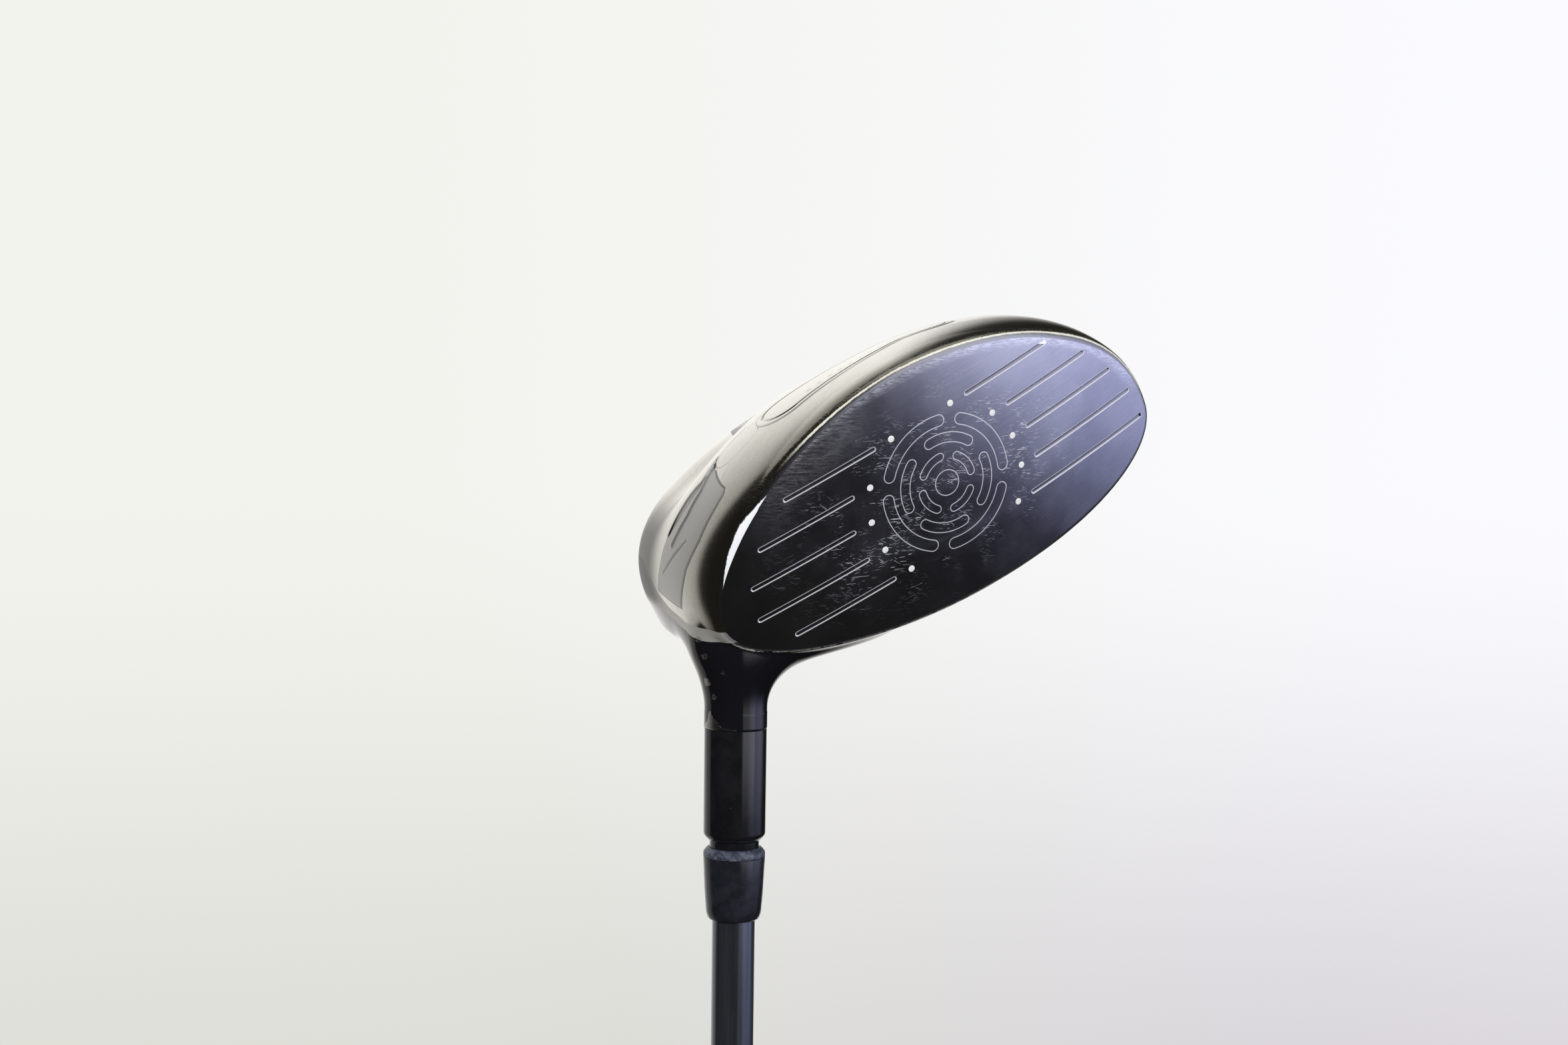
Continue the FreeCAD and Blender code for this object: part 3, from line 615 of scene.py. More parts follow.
def piece(name, points, faces, body, look, nodes=(), attributes=None, shell=0.0, sharp=None):
    """A visible piece from points in row millimetres; it rides a body and may stand for CAD nodes."""
    mesh = bpy.data.meshes.new(name)
    mesh.from_pydata((points * MM).tolist(), [], [tuple(face) for face in np.asarray(faces).tolist()])
    mesh.polygons.foreach_set("use_smooth", np.ones(len(mesh.polygons), bool))
    for key, values in (attributes or {}).items():
        kind, field = ("FLOAT_VECTOR", "vector") if values.ndim == 2 else ("FLOAT", "value")
        mesh.attributes.new(key, kind, "POINT").data.foreach_set(field, values.astype(np.float32).ravel())
    if sharp:
        mesh.set_sharp_from_angle(angle=math.radians(sharp))
    obj = link(name, mesh)
    mesh.materials.append(look)
    if shell:
        sharpen_border(mesh)
        wall = obj.modifiers.new("wall", "SOLIDIFY")
        wall.thickness, wall.offset = shell * MM, -1.0
    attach(obj, body)
    if nodes:
        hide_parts(*nodes)
    return obj


def sharpen_border(mesh):
    """Mark the open edges sharp, so that the wall's rim does not tilt the shading beside them."""
    used = np.zeros(len(mesh.loops), np.int32)
    mesh.loops.foreach_get("edge_index", used)
    border = np.bincount(used, minlength=len(mesh.edges)) == 1
    layer = mesh.attributes.get("sharp_edge") or mesh.attributes.new("sharp_edge", "BOOLEAN", "EDGE")
    layer.data.foreach_set("value", border)


def rounded(profile, steps=4):
    """Profile of (radius, z, bevel) corners with each corner rounded by its bevel."""
    points = np.array(profile, float)
    result = []
    for i, (corner, bevel) in enumerate(zip(points[:, :2], points[:, 2])):
        if not bevel:
            result.append(corner)
            continue
        ends = []
        for other in (points[i - 1, :2], points[(i + 1) % len(points), :2]):
            way = other - corner
            ends.append(corner + way * min(bevel / np.linalg.norm(way), 0.45))
        for t in np.linspace(0, 1, steps):
            result.append(ends[0] * (1 - t) ** 2 + corner * 2 * t * (1 - t) + ends[1] * t * t)
    return np.array(result)


def lathe(profile, turns=144, shape=None):
    """Closed (radius, z) profile turned about the shaft axis, in row millimetres, as a closed mesh."""
    ring = len(profile)
    angle = np.arange(turns) * 2 * math.pi / turns
    radius = np.broadcast_to(profile[:, 0], (turns, ring)).copy()
    if shape is not None:
        radius = shape(radius, np.broadcast_to(angle[:, None], radius.shape), profile[:, 1])
    points = np.stack([radius * np.cos(angle)[:, None], radius * np.sin(angle)[:, None],
                       np.broadcast_to(profile[:, 1], radius.shape)], 2).reshape(-1, 3)
    i, j = np.indices((turns, ring))
    here, along = i * ring + j, i * ring + (j + 1) % ring
    over, across = (i + 1) % turns * ring + j, (i + 1) % turns * ring + (j + 1) % ring
    quads = np.stack([here, over, across, along], 2).reshape(-1, 4)
    return points, quads


def turned_piece(name, profile, body, look, nodes=(), turns=144, shape=None, sharp=35, bevels=True):
    """A turned piece; the poles and doubled points are welded."""
    profile = rounded(profile) if bevels else np.array(profile, float)
    area = np.sum(profile[:, 0] * np.roll(profile[:, 1], -1) - np.roll(profile[:, 0], -1) * profile[:, 1])
    if area < 0:
        profile = profile[::-1]
    points, quads = lathe(profile, turns, shape)
    obj = piece(name, points, quads[:, ::-1], body, look, nodes)
    weld(obj.data, 2e-7)
    obj.data.set_sharp_from_angle(angle=math.radians(sharp))
    return obj


# ---- head skin
# Edges of the satin strip on the heel side: depth, height of the edge towards the sole and towards the crown
STRIP_EDGES = np.array([
    (8.5, 3.0, 6.6), (10.5, 1.6, 4.8), (12.6, 0.7, 3.4), (14.1, -0.1, 2.4), (17.8, -0.9, 0.9),
    (24.5, -3.2, -0.5), (30.0, -6.0, -2.4), (33.4, -8.4, -6.6), (40.0, -11.2, -9.6),
    (60.0, -12.0, -11.2), (86.0, -7.0, -6.0)])


def strip_values(p):
    """Signed inside distance of the satin strip between polished sole and painted crown, and its middle."""
    x, y, z = p.T
    low, high = (np.interp(y, STRIP_EDGES[:, 0], STRIP_EDGES[:, i]) for i in (1, 2))
    share = smooth_step(x, -10, 30)
    rest = EQUATOR_HEIGHT - 9 - 0.05 * x
    middle = (low + high) / 2 * share + rest * (1 - share)
    half = (high - low) / 2 * share + 0.6 * (1 - share)
    return np.minimum(half - np.abs(z - middle), y - 8.6), middle


# Reach of the chipped rim from the hosel's end by degrees round the axis, and chips: height, degrees, radius
CHIPPED_RIM = np.array([(-80, 0.4), (-62, 1.6), (-54, 4.1), (-44, 2.4), (-38, 1.9), (-30, 1.0), (-18, 0.45),
                        (2, 0.12), (12, -0.6), (60, -0.6)])
CHIPS = ((16.8, -52, 0.8), (19.6, -40, 0.5), (11.5, -45, 0.45), (14.6, -20, 0.3), (8.2, -50, 0.5))
CHIP_FRONT, CHIP_SIDE = np.array([-0.330, -0.942]), np.array([0.944, -0.330])   # where 0 and 90 degrees point


def chip_values(p):
    """Signed inside distance of the chipped patches near the hosel's end."""
    height, toe, back = axis_coordinates(p)
    forward = toe * CHIP_FRONT[0] + back * CHIP_FRONT[1]
    turn = np.degrees(np.arctan2(toe * CHIP_SIDE[0] + back * CHIP_SIDE[1], forward))
    value = np.interp(turn, *CHIPPED_RIM.T) - (HOSEL_END - height)
    for spot_height, spot_turn, size in CHIPS:
        gap = np.hypot(height - spot_height, np.radians(turn - spot_turn) * HOSEL_RADIUS)
        value = np.maximum(value, size - gap)
    return np.where(height > 5, value, -5.0)


def lobe_shade(p):
    """Share of painted shade on the rear heel, over the lobe behind the badge."""
    x, y, z = p.T
    along = smooth_step(y, 25, 36) * smooth_step(-y, -90, -70)
    return 0.8 * along * smooth_step(x, 36, 49) * smooth_step(-z, 1, 5)


# Width of the painted highlight along the rounded heel end of the face, by place towards the heel
PAINTED_HIGHLIGHT_WIDTH = np.array([(33.0, 0.0), (35.5, 0.5), (38.0, 0.85), (40.4, 1.1), (42.4, 1.0), (44.6, 0.85),
                      (46.8, 0.45), (48.0, 0.0)])


def painted_highlight_edge(p):
    """Signed inside distance of the painted highlight, a bright band on the rounding at the heel end of the
    face.
    """
    within = distance(body_level, p) + edge_radius(p[:, 0], p[:, 2])
    beside_face = (p[:, 2] < -4) & (face_distance(p) > -2.5)
    return np.where(beside_face, np.interp(p[:, 0], *PAINTED_HIGHLIGHT_WIDTH.T) - within - 0.05, -2.0)


def skin_attributes(p):
    """What the skin's paint reads at each point: places, distances from edges and shares of wear."""
    front = face_distance(p)
    edge = front - distance(body_level, p)
    strip, middle = strip_values(p)
    x, _, z = p.T
    crown_side = smooth_step(z, 2, 8)
    return {"head": p, "edge": edge, "strip": strip, "paint": z - middle, "chip": chip_values(p),
            "bright": (1 - crown_side) * smooth_step(-x, -30, -20),
            "nick": crown_side * smooth_step(x, -16, -4),
            "wear": smooth_step(-z, 0, 8) * smooth_step(-x, -41, -34), "shade": lobe_shade(p),
            "painted_glint": painted_highlight_edge(p)}


HOLE_EDGE = 1.2               # the face plate laps over the skin by this much
SKIN_BOX = (-58, -12, -34), (64, 88, 30)
SKIN_STEP, SKIN_WALL, PLATE_WALL, TRIM_WALL = 0.5, 0.8, 1.6, 0.45
TRIM_LAP = 0.45               # the trim laps over the skin by this much
COVER_HEIGHT = -8.0           # height on the axis between the sole and the inside at the port


def skin_pieces():
    """The head's outer skin, split as the CAD splits it, each with its own wall."""
    points, triangles = surface_net(head_distance, *SKIN_BOX, SKIN_STEP)

    def cut(mesh, value):
        made = clip(*mesh, value(mesh[0]))
        return settle_on(head_distance, made[0], 1), made[1]

    def hole(p):
        front = face_distance(p)
        depth = front - distance(body_level, p) - HOLE_EDGE - edge_radius(p[:, 0], p[:, 2])
        return np.where(front > -0.5, -depth, 1)

    def cup(p):
        near_face = face_depth(p[:, 0], p[:, 2]) + CUP_RETURN - p[:, 1]
        return np.minimum(near_face, axis_span(p) - CUP_HOSEL_CLEARANCE)

    def crown(p):
        seam = p[:, 2] - (EQUATOR_HEIGHT + 1.5 + EQUATOR_SKEW * p[:, 0])
        return np.minimum(seam, axis_span(p) - CROWN_HOSEL_CLEARANCE)

    def outside_port(p):
        return np.maximum(axis_span(p) - PORT_RADIUS, axis_coordinates(p)[0] - COVER_HEIGHT)

    def below_end(p):
        return HOSEL_END - 3 - axis_coordinates(p)[0]

    def beside_trim(p):
        badge = np.where(p[:, 0] > 20, badge_edge(p), 9.0)
        panel = np.where(p[:, 2] < -14, panel_rim(p[:, 0], p[:, 1])[0], 9.0)
        return np.minimum(badge, panel) + TRIM_LAP

    whole = cut(cut(cut((points, triangles), below_end), outside_port), beside_trim)
    front = cut(cut(whole, cup), hole)
    rest = cut(whole, lambda p: -cup(p))
    sole = cut((points, triangles), lambda p: PORT_RADIUS - 0.05 - axis_span(p))
    parts = {
        "port_cover_cap": (cut(sole, lambda p: COVER_HEIGHT - axis_coordinates(p)[0]), "port_cover", "cover"),
        "head_face_cup": (front, "face_cup", "face_metal"),
        "head_crown": (cut(rest, crown), "crown_shell", "head_paint"),
        "head_body": (cut(rest, lambda p: -crown(p)), "body_shell", "body_metal"),
    }
    for name, (mesh, node, slot) in parts.items():
        attributes = skin_attributes(mesh[0])
        piece(name, to_row(mesh[0]), mesh[1], "head", SKIN, [node], attributes, shell=SKIN_WALL)


# ---- face plate
ROW_PITCH, ROW_ZERO, SCORE_HALF_WIDTH, SCORE_DEPTH = 6.7, -15.7, 0.45, 0.25
DOT_RING_RADIUS, SCORE_INNER_GAP = 17.2, 3.6
PLATE_LIFT = 0.012            # how far the face plate stands in front of the head's surface
# Profile of a dot of paint, from its middle to under its rim: radius, rise
DOT_PROFILE = ((0.0, 0.045), (0.3, 0.043), (0.5, 0.035), (0.60, 0.02), (0.66, 0.0), (0.66, -0.2), (0.0, -0.2))
SCORE_OUTER = ((30.9, 31.9), (39.1, 39.6), (43.3, 44.3), (44.5, 47.3), (39.1, 48.6))


def face_rows():
    """Height along the face, dot distance from the centre and outer ends (heel, toe) of each row."""
    for i, ends in enumerate(SCORE_OUTER):
        height = ROW_ZERO + i * ROW_PITCH
        yield height, math.sqrt(DOT_RING_RADIUS ** 2 - height ** 2), ends


def slot_distance(x, s, x0, x1, height, half):
    """Distance outside a round-ended slot between x0 and x1."""
    low, high = min(x0, x1) + half, max(x0, x1) - half
    return np.hypot(x - np.clip(x, low, high), s - height) - half


def arc_band(x, s, radius, middle, half_angle, half_width):
    """Distance outside a curved round-ended slot about the pattern's centre."""
    turn = (np.arctan2(s, x) - middle + math.pi) % (2 * math.pi) - math.pi
    clipped = np.clip(turn, -half_angle, half_angle)
    cx, cs = radius * np.cos(middle + clipped), radius * np.sin(middle + clipped)
    return np.hypot(x - cx, s - cs) - half_width


# Broken rings of the face pattern: radius, turn of the first slot, half angle and half width of each slot
PATTERN_RINGS = ((12.9, 0.35, 0.60, 1.15), (9.2, 1.13, 0.50, 1.0), (5.6, 0.35, 0.45, 0.8))
PATTERN_CENTRE, PATTERN_DISC = (-0.2, -1.3), 2.6


def pattern_distance(x, s):
    """A plain target of curved slots in three broken rings, round a small circle."""
    x, s = x - PATTERN_CENTRE[0], s - PATTERN_CENTRE[1]
    value = np.hypot(x, s) - PATTERN_DISC
    for quarter in np.arange(4) * math.pi / 2:
        for radius, turn, half_angle, half_width in PATTERN_RINGS:
            value = np.minimum(value, arc_band(x, s, radius, quarter + turn, half_angle, half_width))
    return value


EXTRA_LINES = (0.15, 0.3, 0.4, 0.45, 0.5, 0.6, 0.75)    # distances from a spot


def breaks(low, high, coarse, fine_spots):
    """Grid lines from low to high, with extra lines at the given spots."""
    lines = list(np.linspace(low, high, int((high - low) / coarse) + 2))
    for spot in fine_spots:
        lines = [line for line in lines if abs(line - spot) > 0.8]
        lines += [spot] + [spot + side * gap for side in (-1, 1) for gap in EXTRA_LINES]
    return np.array(sorted(lines))


def grid_places(rows, columns):
    """Row and column place of every grid point."""
    return (part.ravel() for part in np.meshgrid(rows, columns, indexing="ij"))


def grid_mesh(rows, columns):
    """Triangles of a grid of points."""
    i, j = np.indices((len(rows) - 1, len(columns) - 1))
    n = len(columns)
    a = (i * n + j).ravel()
    b, c, d = a + 1, a + n + 1, a + n
    return np.concatenate([np.stack([a, b, c], 1), np.stack([a, c, d], 1)])


def face_plate():
    """The struck face as one fine grid, with the score lines sunk in it."""
    rows = breaks(-27, 24, 0.33, [height for height, _, _ in face_rows()])
    scores = [(height, *ends) for height, dot, (heel, toe) in face_rows()
              for ends in ((dot + SCORE_INNER_GAP, heel), (-dot - SCORE_INNER_GAP, -toe))]
    columns = set(np.round(np.linspace(-53, 54, 270), 3))
    for end in [end for score in scores for end in score[1:]]:
        columns |= set(np.round(end + np.linspace(-0.5, 0.5, 7), 3))
    columns = np.array(sorted(columns))
    s, x = grid_places(rows, columns)
    z = s * math.cos(LOFT)
    groove = np.full(len(x), 9.0)
    for height, inner, outer in scores:
        groove = np.minimum(groove, slot_distance(x, s, inner, outer, height, SCORE_HALF_WIDTH))
    points = np.stack([x, face_depth(x, z), z], 1)
    body = distance(body_level, points)
    points[:, 1] += SCORE_DEPTH * smooth_step(-groove, -0.02, 0.14) - PLATE_LIFT
    hit = smooth_step(-np.hypot((x - 3) / 34, (s + 1) / 20), -1.25, -0.45)
    # Lighter haze near the sole edge, at the toe and towards the heel: partly rubbed wear, partly painted
    # highlight.
    low = smooth_step(0.3 * np.maximum(-x - 20, 0) - z, 2, 10)
    rub_and_sheen = low * np.maximum(smooth_step(body, -3.2, -1.2) * smooth_step(-x, -34, -24),
                           0.5 * smooth_step(body, -11, -2) * smooth_step(-np.abs(x - 22), -18, -6))
    triangles = grid_mesh(rows, columns)
    triangles = face_outwards(points, triangles, np.tile((0.0, -1.0, 0.0), (len(points), 1)))
    flat = np.column_stack([points, groove, pattern_distance(x, s), hit, rub_and_sheen])
    flat, triangles = clip(flat, triangles, -body - edge_radius(x, z) - 0.04)
    attributes = {"head": flat[:, :3], "groove": -flat[:, 3], "pattern": flat[:, 4], "hit": flat[:, 5],
                  "rub_and_sheen": flat[:, 6]}
    piece("face_plate", to_row(flat[:, :3]), triangles, "head", FACE, ["face_cup"], attributes,
          shell=PLATE_WALL)


def sight_dots():
    """Ten low domes of white paint on the ring."""
    points, faces, start = [], [], 0
    turns = 28
    for height, dot, _ in face_rows():
        for x in (dot, -dot):
            for radius, rise in DOT_PROFILE:
                for k in range(turns):
                    px = x + radius * math.cos(2 * math.pi * k / turns)
                    pz = (height + radius * math.sin(2 * math.pi * k / turns)) * math.cos(LOFT)
                    points.append((px, face_depth(px, pz) - rise - PLATE_LIFT, pz))
            faces += ring_faces(len(DOT_PROFILE), turns, start)
            start += len(DOT_PROFILE) * turns
    points = to_row(np.array(points))
    obj = piece("sight_dot_paint", points, faces, "head", WHITE, ["sight_dots"])
    weld(obj.data, 1e-7)
    obj.data.set_sharp_from_angle(angle=math.radians(50))


face_plate()
sight_dots()


# ---- trim let into the sole
def segment_distance(x, y, a, b):
    """Distance from a segment, and the share of the way along it to the nearest point."""
    (ax, ay), (bx, by) = a, b
    t = np.clip(((x - ax) * (bx - ax) + (y - ay) * (by - ay)) / ((bx - ax) ** 2 + (by - ay) ** 2), 0, 1)
    return np.hypot(x - ax - t * (bx - ax), y - ay - t * (by - ay)), t


def polygon_distance(x, y, corners):
    """Signed distance outside a closed polygon."""
    best, inside = np.full(len(x), 1e9), np.zeros(len(x), bool)
    for (ax, ay), (bx, by) in zip(corners, corners[1:] + corners[:1]):
        best = np.minimum(best, segment_distance(x, y, (ax, ay), (bx, by))[0])
        crosses = (ay > y) != (by > y)
        at = ax + (y - ay) / np.where(by == ay, 1e-9, by - ay) * (bx - ax)
        inside ^= crosses & (x < at)
    return np.where(inside, -best, best)


def drop_onto(points, axis, low, high):
    """Points moved along one axis onto the head's surface, which lies between low and high."""
    points = points.copy()
    near, far = np.full(len(points), float(low)), np.full(len(points), float(high))
    for _ in range(22):
        points[:, axis] = (near + far) / 2
        out = head_distance(points) > 0
        near, far = np.where(out, points[:, axis], near), np.where(out, far, points[:, axis])
    return points


def trim(name, node, points, rows, columns, attributes, lift, inside):
    """A plate that follows the head's surface, lifted by a profile along the normal."""
    normals = slope_of(head_distance, points)
    normals /= np.linalg.norm(normals, axis=1)[:, None]
    triangles = face_outwards(points, grid_mesh(rows, columns), normals)
    moved = points + normals * lift[:, None]
    flat, triangles = clip(np.column_stack([moved, *attributes.values()]), triangles, inside)
    carried = {"head": flat[:, :3]}
    carried.update((key, flat[:, 3 + i]) for i, key in enumerate(attributes))
    piece(name, to_row(flat[:, :3]), triangles, "head", PLATE, [node], carried, shell=TRIM_WALL)


PANEL_BACK, PANEL_HALF_DEPTH, PANEL_HALF_LENGTH = 15.5, 7.5, 24.0
BADGE_OUTLINE = [(9.5, -20.0), (12.2, -15.0), (15.6, -9.0), (20.5, -2.8), (31.0, -7.5), (40.0, -13.0),
                 (42.0, -21.0), (34.0, -26.0), (22.5, -27.0), (13.0, -24.0)]
# Satin part of the badge, depth and height, and the two grooves cut in it with their half widths and depths
BADGE_SATIN = [(7.9, -20.5), (8.3, -18.9), (9.0, -17.2), (9.9, -14.7), (11.6, -12.5), (13.2, -10.6),
               (13.9, -9.2), (17.4, -3.4), (29.0, -6.5), (26.4, -11.2), (25.4, -13.9), (24.2, -16.1),
               (21.6, -19.6), (20.0, -22.0), (21.5, -24.9), (16.9, -23.7), (8.6, -21.3)]
GROOVES = (([(18.6, -23.0), (21.2, -20.4), (24.2, -16.0)], 1.35, 0.3),
           ([(14.8, -15.0), (19.3, -12.8), (24.2, -10.0)], 0.25, 0.12))
RIDGE = [(19.0, -24.4), (17.4, -21.4), (18.0, -18.6), (21.0, -14.6)]


def polyline_distance(x, y, corners):
    """Distance from a line with corners, and the share of the line's way up to the nearest point."""
    best, share = np.full(len(x), 1e9), np.zeros(len(x))
    for i, (a, b) in enumerate(zip(corners[:-1], corners[1:])):
        gap, t = segment_distance(x, y, a, b)
        share = np.where(gap < best, (i + t) / (len(corners) - 1), share)
        best = np.minimum(gap, best)
    return best, share


def panel_rim(x, y):
    """Distance outside the bowed oblong of the sole panel, and its middle line."""
    straight = PANEL_HALF_LENGTH - PANEL_HALF_DEPTH
    middle = PANEL_BACK - 1.2 + 0.012 * np.clip(10 - x, 0, 20) ** 2
    return np.hypot(x - np.clip(x, -straight, straight), y - middle) - PANEL_HALF_DEPTH, middle


def badge_edge(p):
    """Distance outside the heel badge, which stops short of the screw port."""
    y, z = p[:, 1], p[:, 2]
    edge = np.minimum(polygon_distance(y, z, BADGE_OUTLINE), polygon_distance(y, z, BADGE_SATIN))
    return np.maximum(edge, PORT_RADIUS + PORT_RIM - axis_span(p))


def sole_panel():
    """Oblong panel with a groove inside its rim and a row of plain marks."""
    rows, columns = np.arange(5.0, 28.0, 0.16), np.arange(-25.5, 25.6, 0.2)
    y, x = grid_places(rows, columns)
    points = drop_onto(np.stack([x, y, np.zeros(len(x))], 1), 2, -40, -10)
    rim, middle = panel_rim(x, y)
    lift = 0.015 + 0.10 * smooth_step(-rim, 0.1, 0.5) - 0.22 * smooth_step(-np.abs(rim + 1.6), -0.35, -0.1)
    phase = (x + 20) % 2.6
    mark_and_groove_shade = np.minimum(0.55 - np.abs(phase - 1.3), 0.4 - np.abs(y - middle + 3.4))
    mark_and_groove_shade = np.minimum(mark_and_groove_shade, 14 - np.abs(x))
    attributes = {"rim": rim, "mark_and_groove_shade": mark_and_groove_shade, "satin": np.zeros(len(x)), "shade": np.zeros(len(x))}
    trim("sole_panel_trim", "sole_panel", points, rows, columns, attributes, lift, 0.1 - rim)


def heel_badge():
    """Brushed badge with two grooves, darkened with painted shade, and a ridge."""
    rows, columns = np.arange(7.0, 43, 0.2), np.arange(-28, -1.8, 0.18)
    y, z = grid_places(rows, columns)
    points = drop_onto(np.stack([np.zeros(len(y)), y, z], 1), 0, 70, 20)
    rim = polygon_distance(y, z, BADGE_SATIN)
    lift = 0.015 + 0.08 * smooth_step(-rim, 0.1, 0.5)
    mark_and_groove_shade = np.full(len(y), -1.0)
    for corners, half, depth in GROOVES:
        gap, share = polyline_distance(y, z, corners)
        half = half * (0.25 + 0.75 * np.sin(math.pi * share))
        lift -= depth * smooth_step(-gap, -half - 0.3, -half * 0.3)
        # painted shade: the grooves get a dark colour through the same attribute as the panel's plain marks
        mark_and_groove_shade = np.maximum(mark_and_groove_shade, half - gap)
    ridge = polyline_distance(y, z, RIDGE)[0]
    lift += 0.3 * smooth_step(-ridge, -0.9, 0)
    attributes = {"rim": rim, "mark_and_groove_shade": mark_and_groove_shade, "satin": np.ones(len(y)), "shade": lobe_shade(points)}
    trim("heel_badge_trim", "heel_badge", points, rows, columns, attributes, lift,
         0.1 - badge_edge(points))


skin_pieces()
sole_panel()
heel_badge()


# ---- hosel end, adapter, ferrule, shaft, grip
BORE_RADIUS, MOUTH_RADIUS, MOUTH_DEPTH = 4.9, 5.7, 4.2
STEM_RADIUS, NECK_RADIUS, SLEEVE_LENGTH = 4.85, 4.95, 22.2
SHAFT_BORE, SCREW_BORE = 4.32, 2.5
TIP_RADIUS, TIP_LENGTH, SHAFT_GROWTH, SHAFT_WALL = 4.3, 120.0, 3.3, 1.2
BUTT_RADIUS, GRIP_TAPER, TAPE_GAP, CAP_TOP = 13.4, 3.4, 0.42, 4.0
RING_START, RING_PITCH, RING_COUNT, RING_HALF_WIDTH, RING_DEPTH = 45, 22.0, 9, 0.55, 0.55


def on_axis(height):
    return AXIS_Z - height


def hosel_end():
    """Straight end of the hosel with its counterbore, painted, chipped at the rim."""
    end, step, low = on_axis(HOSEL_END), on_axis(HOSEL_END - MOUTH_DEPTH), on_axis(12)
    profile = rounded([(HOSEL_RADIUS, on_axis(22.9), 0), (HOSEL_RADIUS, end, 0.22), (MOUTH_RADIUS, end, 0.15),
                       (MOUTH_RADIUS, step, 0), (BORE_RADIUS, step, 0), (BORE_RADIUS, low, 0), (6.1, low, 0),
                       (6.1, on_axis(22.6), 0)])
    fine = []
    for a, b in zip(profile, np.roll(profile, -1, axis=0)):
        count = max(int(np.linalg.norm(b - a) / 0.25), 1)
        fine += [a + (b - a) * k / count for k in range(count)]
    points, quads = lathe(np.array(fine)[::-1], 180)
    attributes = skin_attributes((points - OFFSET) @ HEAD_TO_ROW)
    for key, value in (("paint", 1.0), ("edge", -20.0), ("strip", -5.0)):
        attributes[key] = np.full(len(points), value)
    attributes["chip"] = np.where(np.hypot(points[:, 0], points[:, 1]) < 5.95, 1.0, attributes["chip"])
    piece("hosel_end", points, quads, "head", SKIN, ["body_shell"], attributes, sharp=35)


def adapter():
    """Gloss sleeve, thinner neck, and the stem that goes into the hosel."""
    collar, neck = radius_mm("shaft_adapter"), bottom_mm("shaft_adapter")
    joint, sleeve, tip = on_axis(HOSEL_END), on_axis(HOSEL_END + SLEEVE_LENGTH), top_mm("shaft_adapter")
    profile = [(SHAFT_BORE, neck, 0), (NECK_RADIUS, neck, 0.1), (NECK_RADIUS, sleeve, 0.25),
               (5.35, sleeve, 0.2), (collar, sleeve + 1.0, 0.5), (collar, joint - 0.05, 0.14),
               (STEM_RADIUS, joint - 0.05, 0), (STEM_RADIUS, joint + 3.8, 0.1), (4.83, tip - 0.6, 0.2),
               (4.3, tip, 0.2), (SCREW_BORE, tip, 0.15), (SCREW_BORE, tip - 8, 0), (SHAFT_BORE, tip - 9, 0)]
    turned_piece("adapter_sleeve", profile, "club", SLEEVE, ["shaft_adapter"])


def cog():
    """Ring with eight square teeth under the sleeve."""
    high, low = top_mm("cog_ring"), bottom_mm("cog_ring")

    def teeth(radius, angle, z):
        wave = smooth_step(np.cos(8 * angle), -0.75, -0.55)
        return np.where(radius > 5, radius - 0.35 * (1 - wave), radius)

    profile = [(4.87, low, 0), (5.6, low, 0), (5.6, high, 0.25), (4.87, high, 0)]
    turned_piece("cog_ring_teeth", profile, "club", ALLOY, ["cog_ring"], turns=288, shape=teeth)


def ferrule():
    """Tapered collar with a rounded lower lip, and the chamfered ring on it."""
    top, bottom = top_mm("ferrule"), bottom_mm("ferrule")
    ring_top = top_mm("ferrule_ring")
    profile = [(SHAFT_BORE, bottom + 0.9, 0), (4.75, bottom + 0.05, 0.3), (5.1, bottom + 0.25, 0.3),
               (5.5, bottom + 1.3, 0.9), (5.92, bottom + 7, 2), (6.15, top - 0.02, 0.08),
               (SHAFT_BORE, top - 0.02, 0)]
    turned_piece("ferrule_collar", profile, "club", FERRULE, ["ferrule"])
    profile = [(SHAFT_BORE, top + 0.02, 0), (6.13, top + 0.02, 0.12), (6.13, ring_top - 0.9, 0.25),
               (5.35, ring_top, 0.25), (SHAFT_BORE, ring_top, 0)]
    turned_piece("ferrule_trim_ring", profile, "club", SCUFF, ["ferrule_ring"])


def shaft_radius(z):
    """Outer radius of the shaft: a parallel tip, then a straight taper to the butt."""
    taper = top_mm("shaft") - TIP_LENGTH
    return TIP_RADIUS + SHAFT_GROWTH * np.clip((taper - z) / taper, 0, 1)


def shaft():
    low, high = bottom_mm("shaft"), top_mm("shaft")
    heights = np.concatenate([np.arange(low, high - 1, 12), [high - 0.4]])
    outer = [(shaft_radius(z), z) for z in heights] + [(4.1, high)]
    inner = [(shaft_radius(z) - SHAFT_WALL, z) for z in (high, high - TIP_LENGTH, low)]
    turned_piece("shaft_tube", outer + inner, "club", SHAFT, ["shaft"], turns=96, bevels=False)


